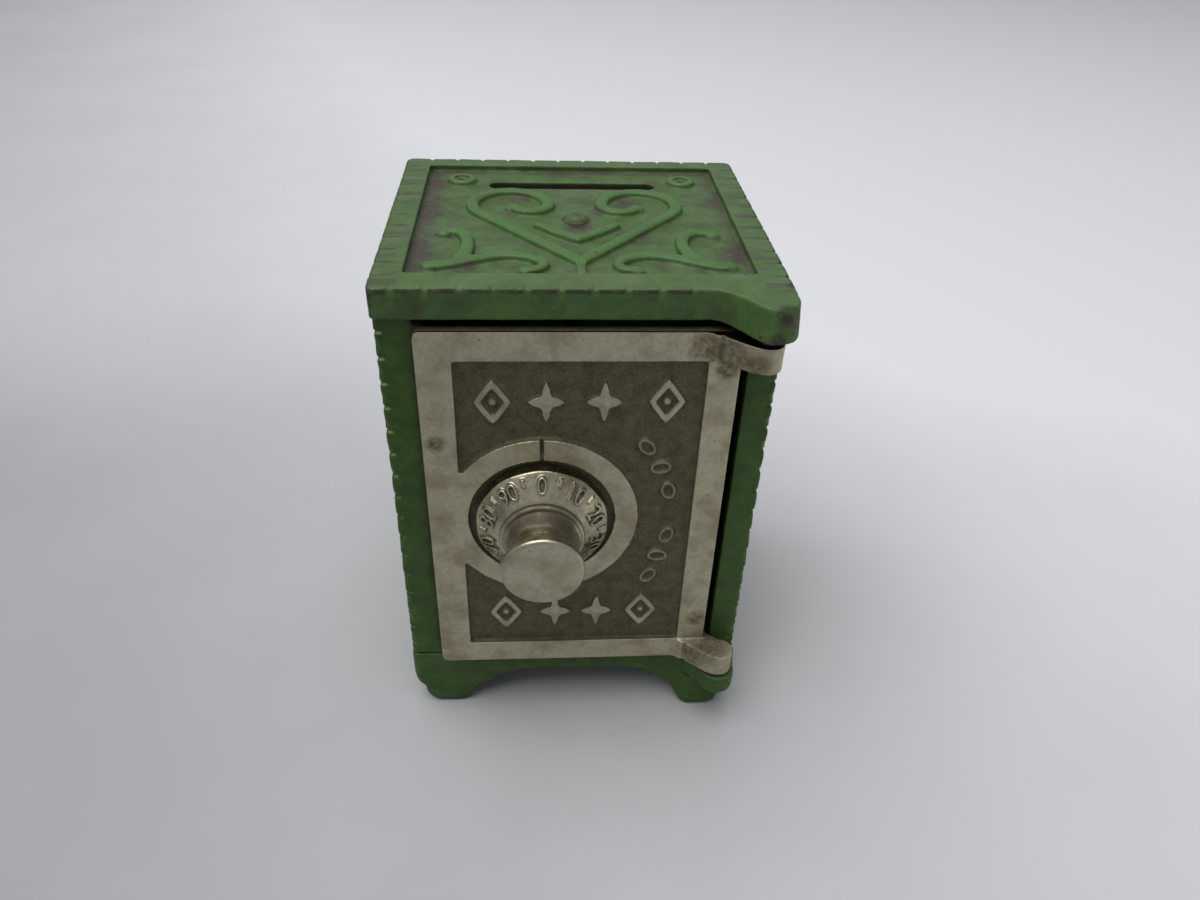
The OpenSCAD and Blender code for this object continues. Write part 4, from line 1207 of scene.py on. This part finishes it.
# the rods, pins, washers, nuts and lock wheel keep their solids
for node in ("upper_hinge_pin", "lower_hinge_pin", "dial_spindle", "spring_washer", "spindle_washer",
             "spindle_nut", "tie_rod_washer", "tie_rod_nut", "lock_wheel", "centre_tie_rod"):
    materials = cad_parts[node].data.materials
    materials.clear()
    materials.append({"lock_wheel": bareIron, "centre_tie_rod": enamel}.get(node, plainSteel))

# floor and light
stageLook = {
    "half": 3,  # m
    # floor colours at the two ends of a painted light gradient
    "near": (0.33, 0.335, 0.35),
    "far": (0.88, 0.885, 0.895),
    "brighter": (0.85, 0.38, 0),  # the way in which the floor gets paler, a painted light gradient
    "paler": (-0.24, 0.30),  # m along that way
    "tone": (14, 3, 0.55, 0.3, 0.7, 0, 0.05),
    "behind": (0.04, 0.20, 0, 0.30),  # painted light: from, to and by how much it gets paler behind the bank
    "rough": 0.8,
    "sky": (0.90, 0.93, 1.0),
    "skyLight": 0.22,  # strength that lights the scene
    "skySeen": 0.42,  # strength in reflections
    "keyPlace": (-0.34, -0.10, 1.42),
    "keyAim": (0, 0, 0.05),
    "keySize": 1.5,
    "keyPower": 20.0,
}


def makeFloor(look):
    bm = bmesh.new()
    bmesh.ops.create_grid(bm, x_segments=4, y_segments=4, size=look["half"])
    floor = newPiece("studioFloor", bm)
    material, shader = startMaterial("studioFloor")
    along = add("VectorMath")
    along.operation = "DOT_PRODUCT"
    feed(along.inputs[0], work["where"])
    feed(along.inputs[1], look["brighter"])
    # painted light: the floor gets paler one way and behind the bank
    amount = plus(spread(along.outputs["Value"], *look["paler"]), pattern(*look["tone"]))
    amount = plus(amount, spread(axisOf(1), *look["behind"]))
    feed(shader.inputs["Base Color"], mix(amount, look["near"], look["far"]))
    shader.inputs["Roughness"].default_value = look["rough"]
    floor.data.materials.append(material)


def makeLight(look):
    world = bpy.data.worlds.new("studio")
    bpy.context.scene.world = world
    world.use_nodes = True
    work["tree"] = world.node_tree
    sky = world.node_tree.nodes["Background"]
    feed(sky.inputs["Color"], look["sky"])
    path = add("LightPath")
    seen = path.outputs["Is Camera Ray"]
    for name in ("Is Glossy Ray", "Is Transmission Ray"):
        seen = plus(seen, path.outputs[name])
    feed(sky.inputs["Strength"], spread(seen, 0, 1, look["skyLight"], look["skySeen"]))
    lamp = bpy.data.lights.new("key", "AREA")
    lamp.size = look["keySize"]
    lamp.energy = look["keyPower"]
    light = addObject("key", lamp)
    light.location = look["keyPlace"]
    aim = Vector(look["keyAim"]) - Vector(look["keyPlace"])
    light.rotation_euler = aim.to_track_quat("-Z", "Y").to_euler()


makeFloor(stageLook)
makeLight(stageLook)
bpy.context.scene.view_settings.view_transform = "Standard"
print("stage and light")
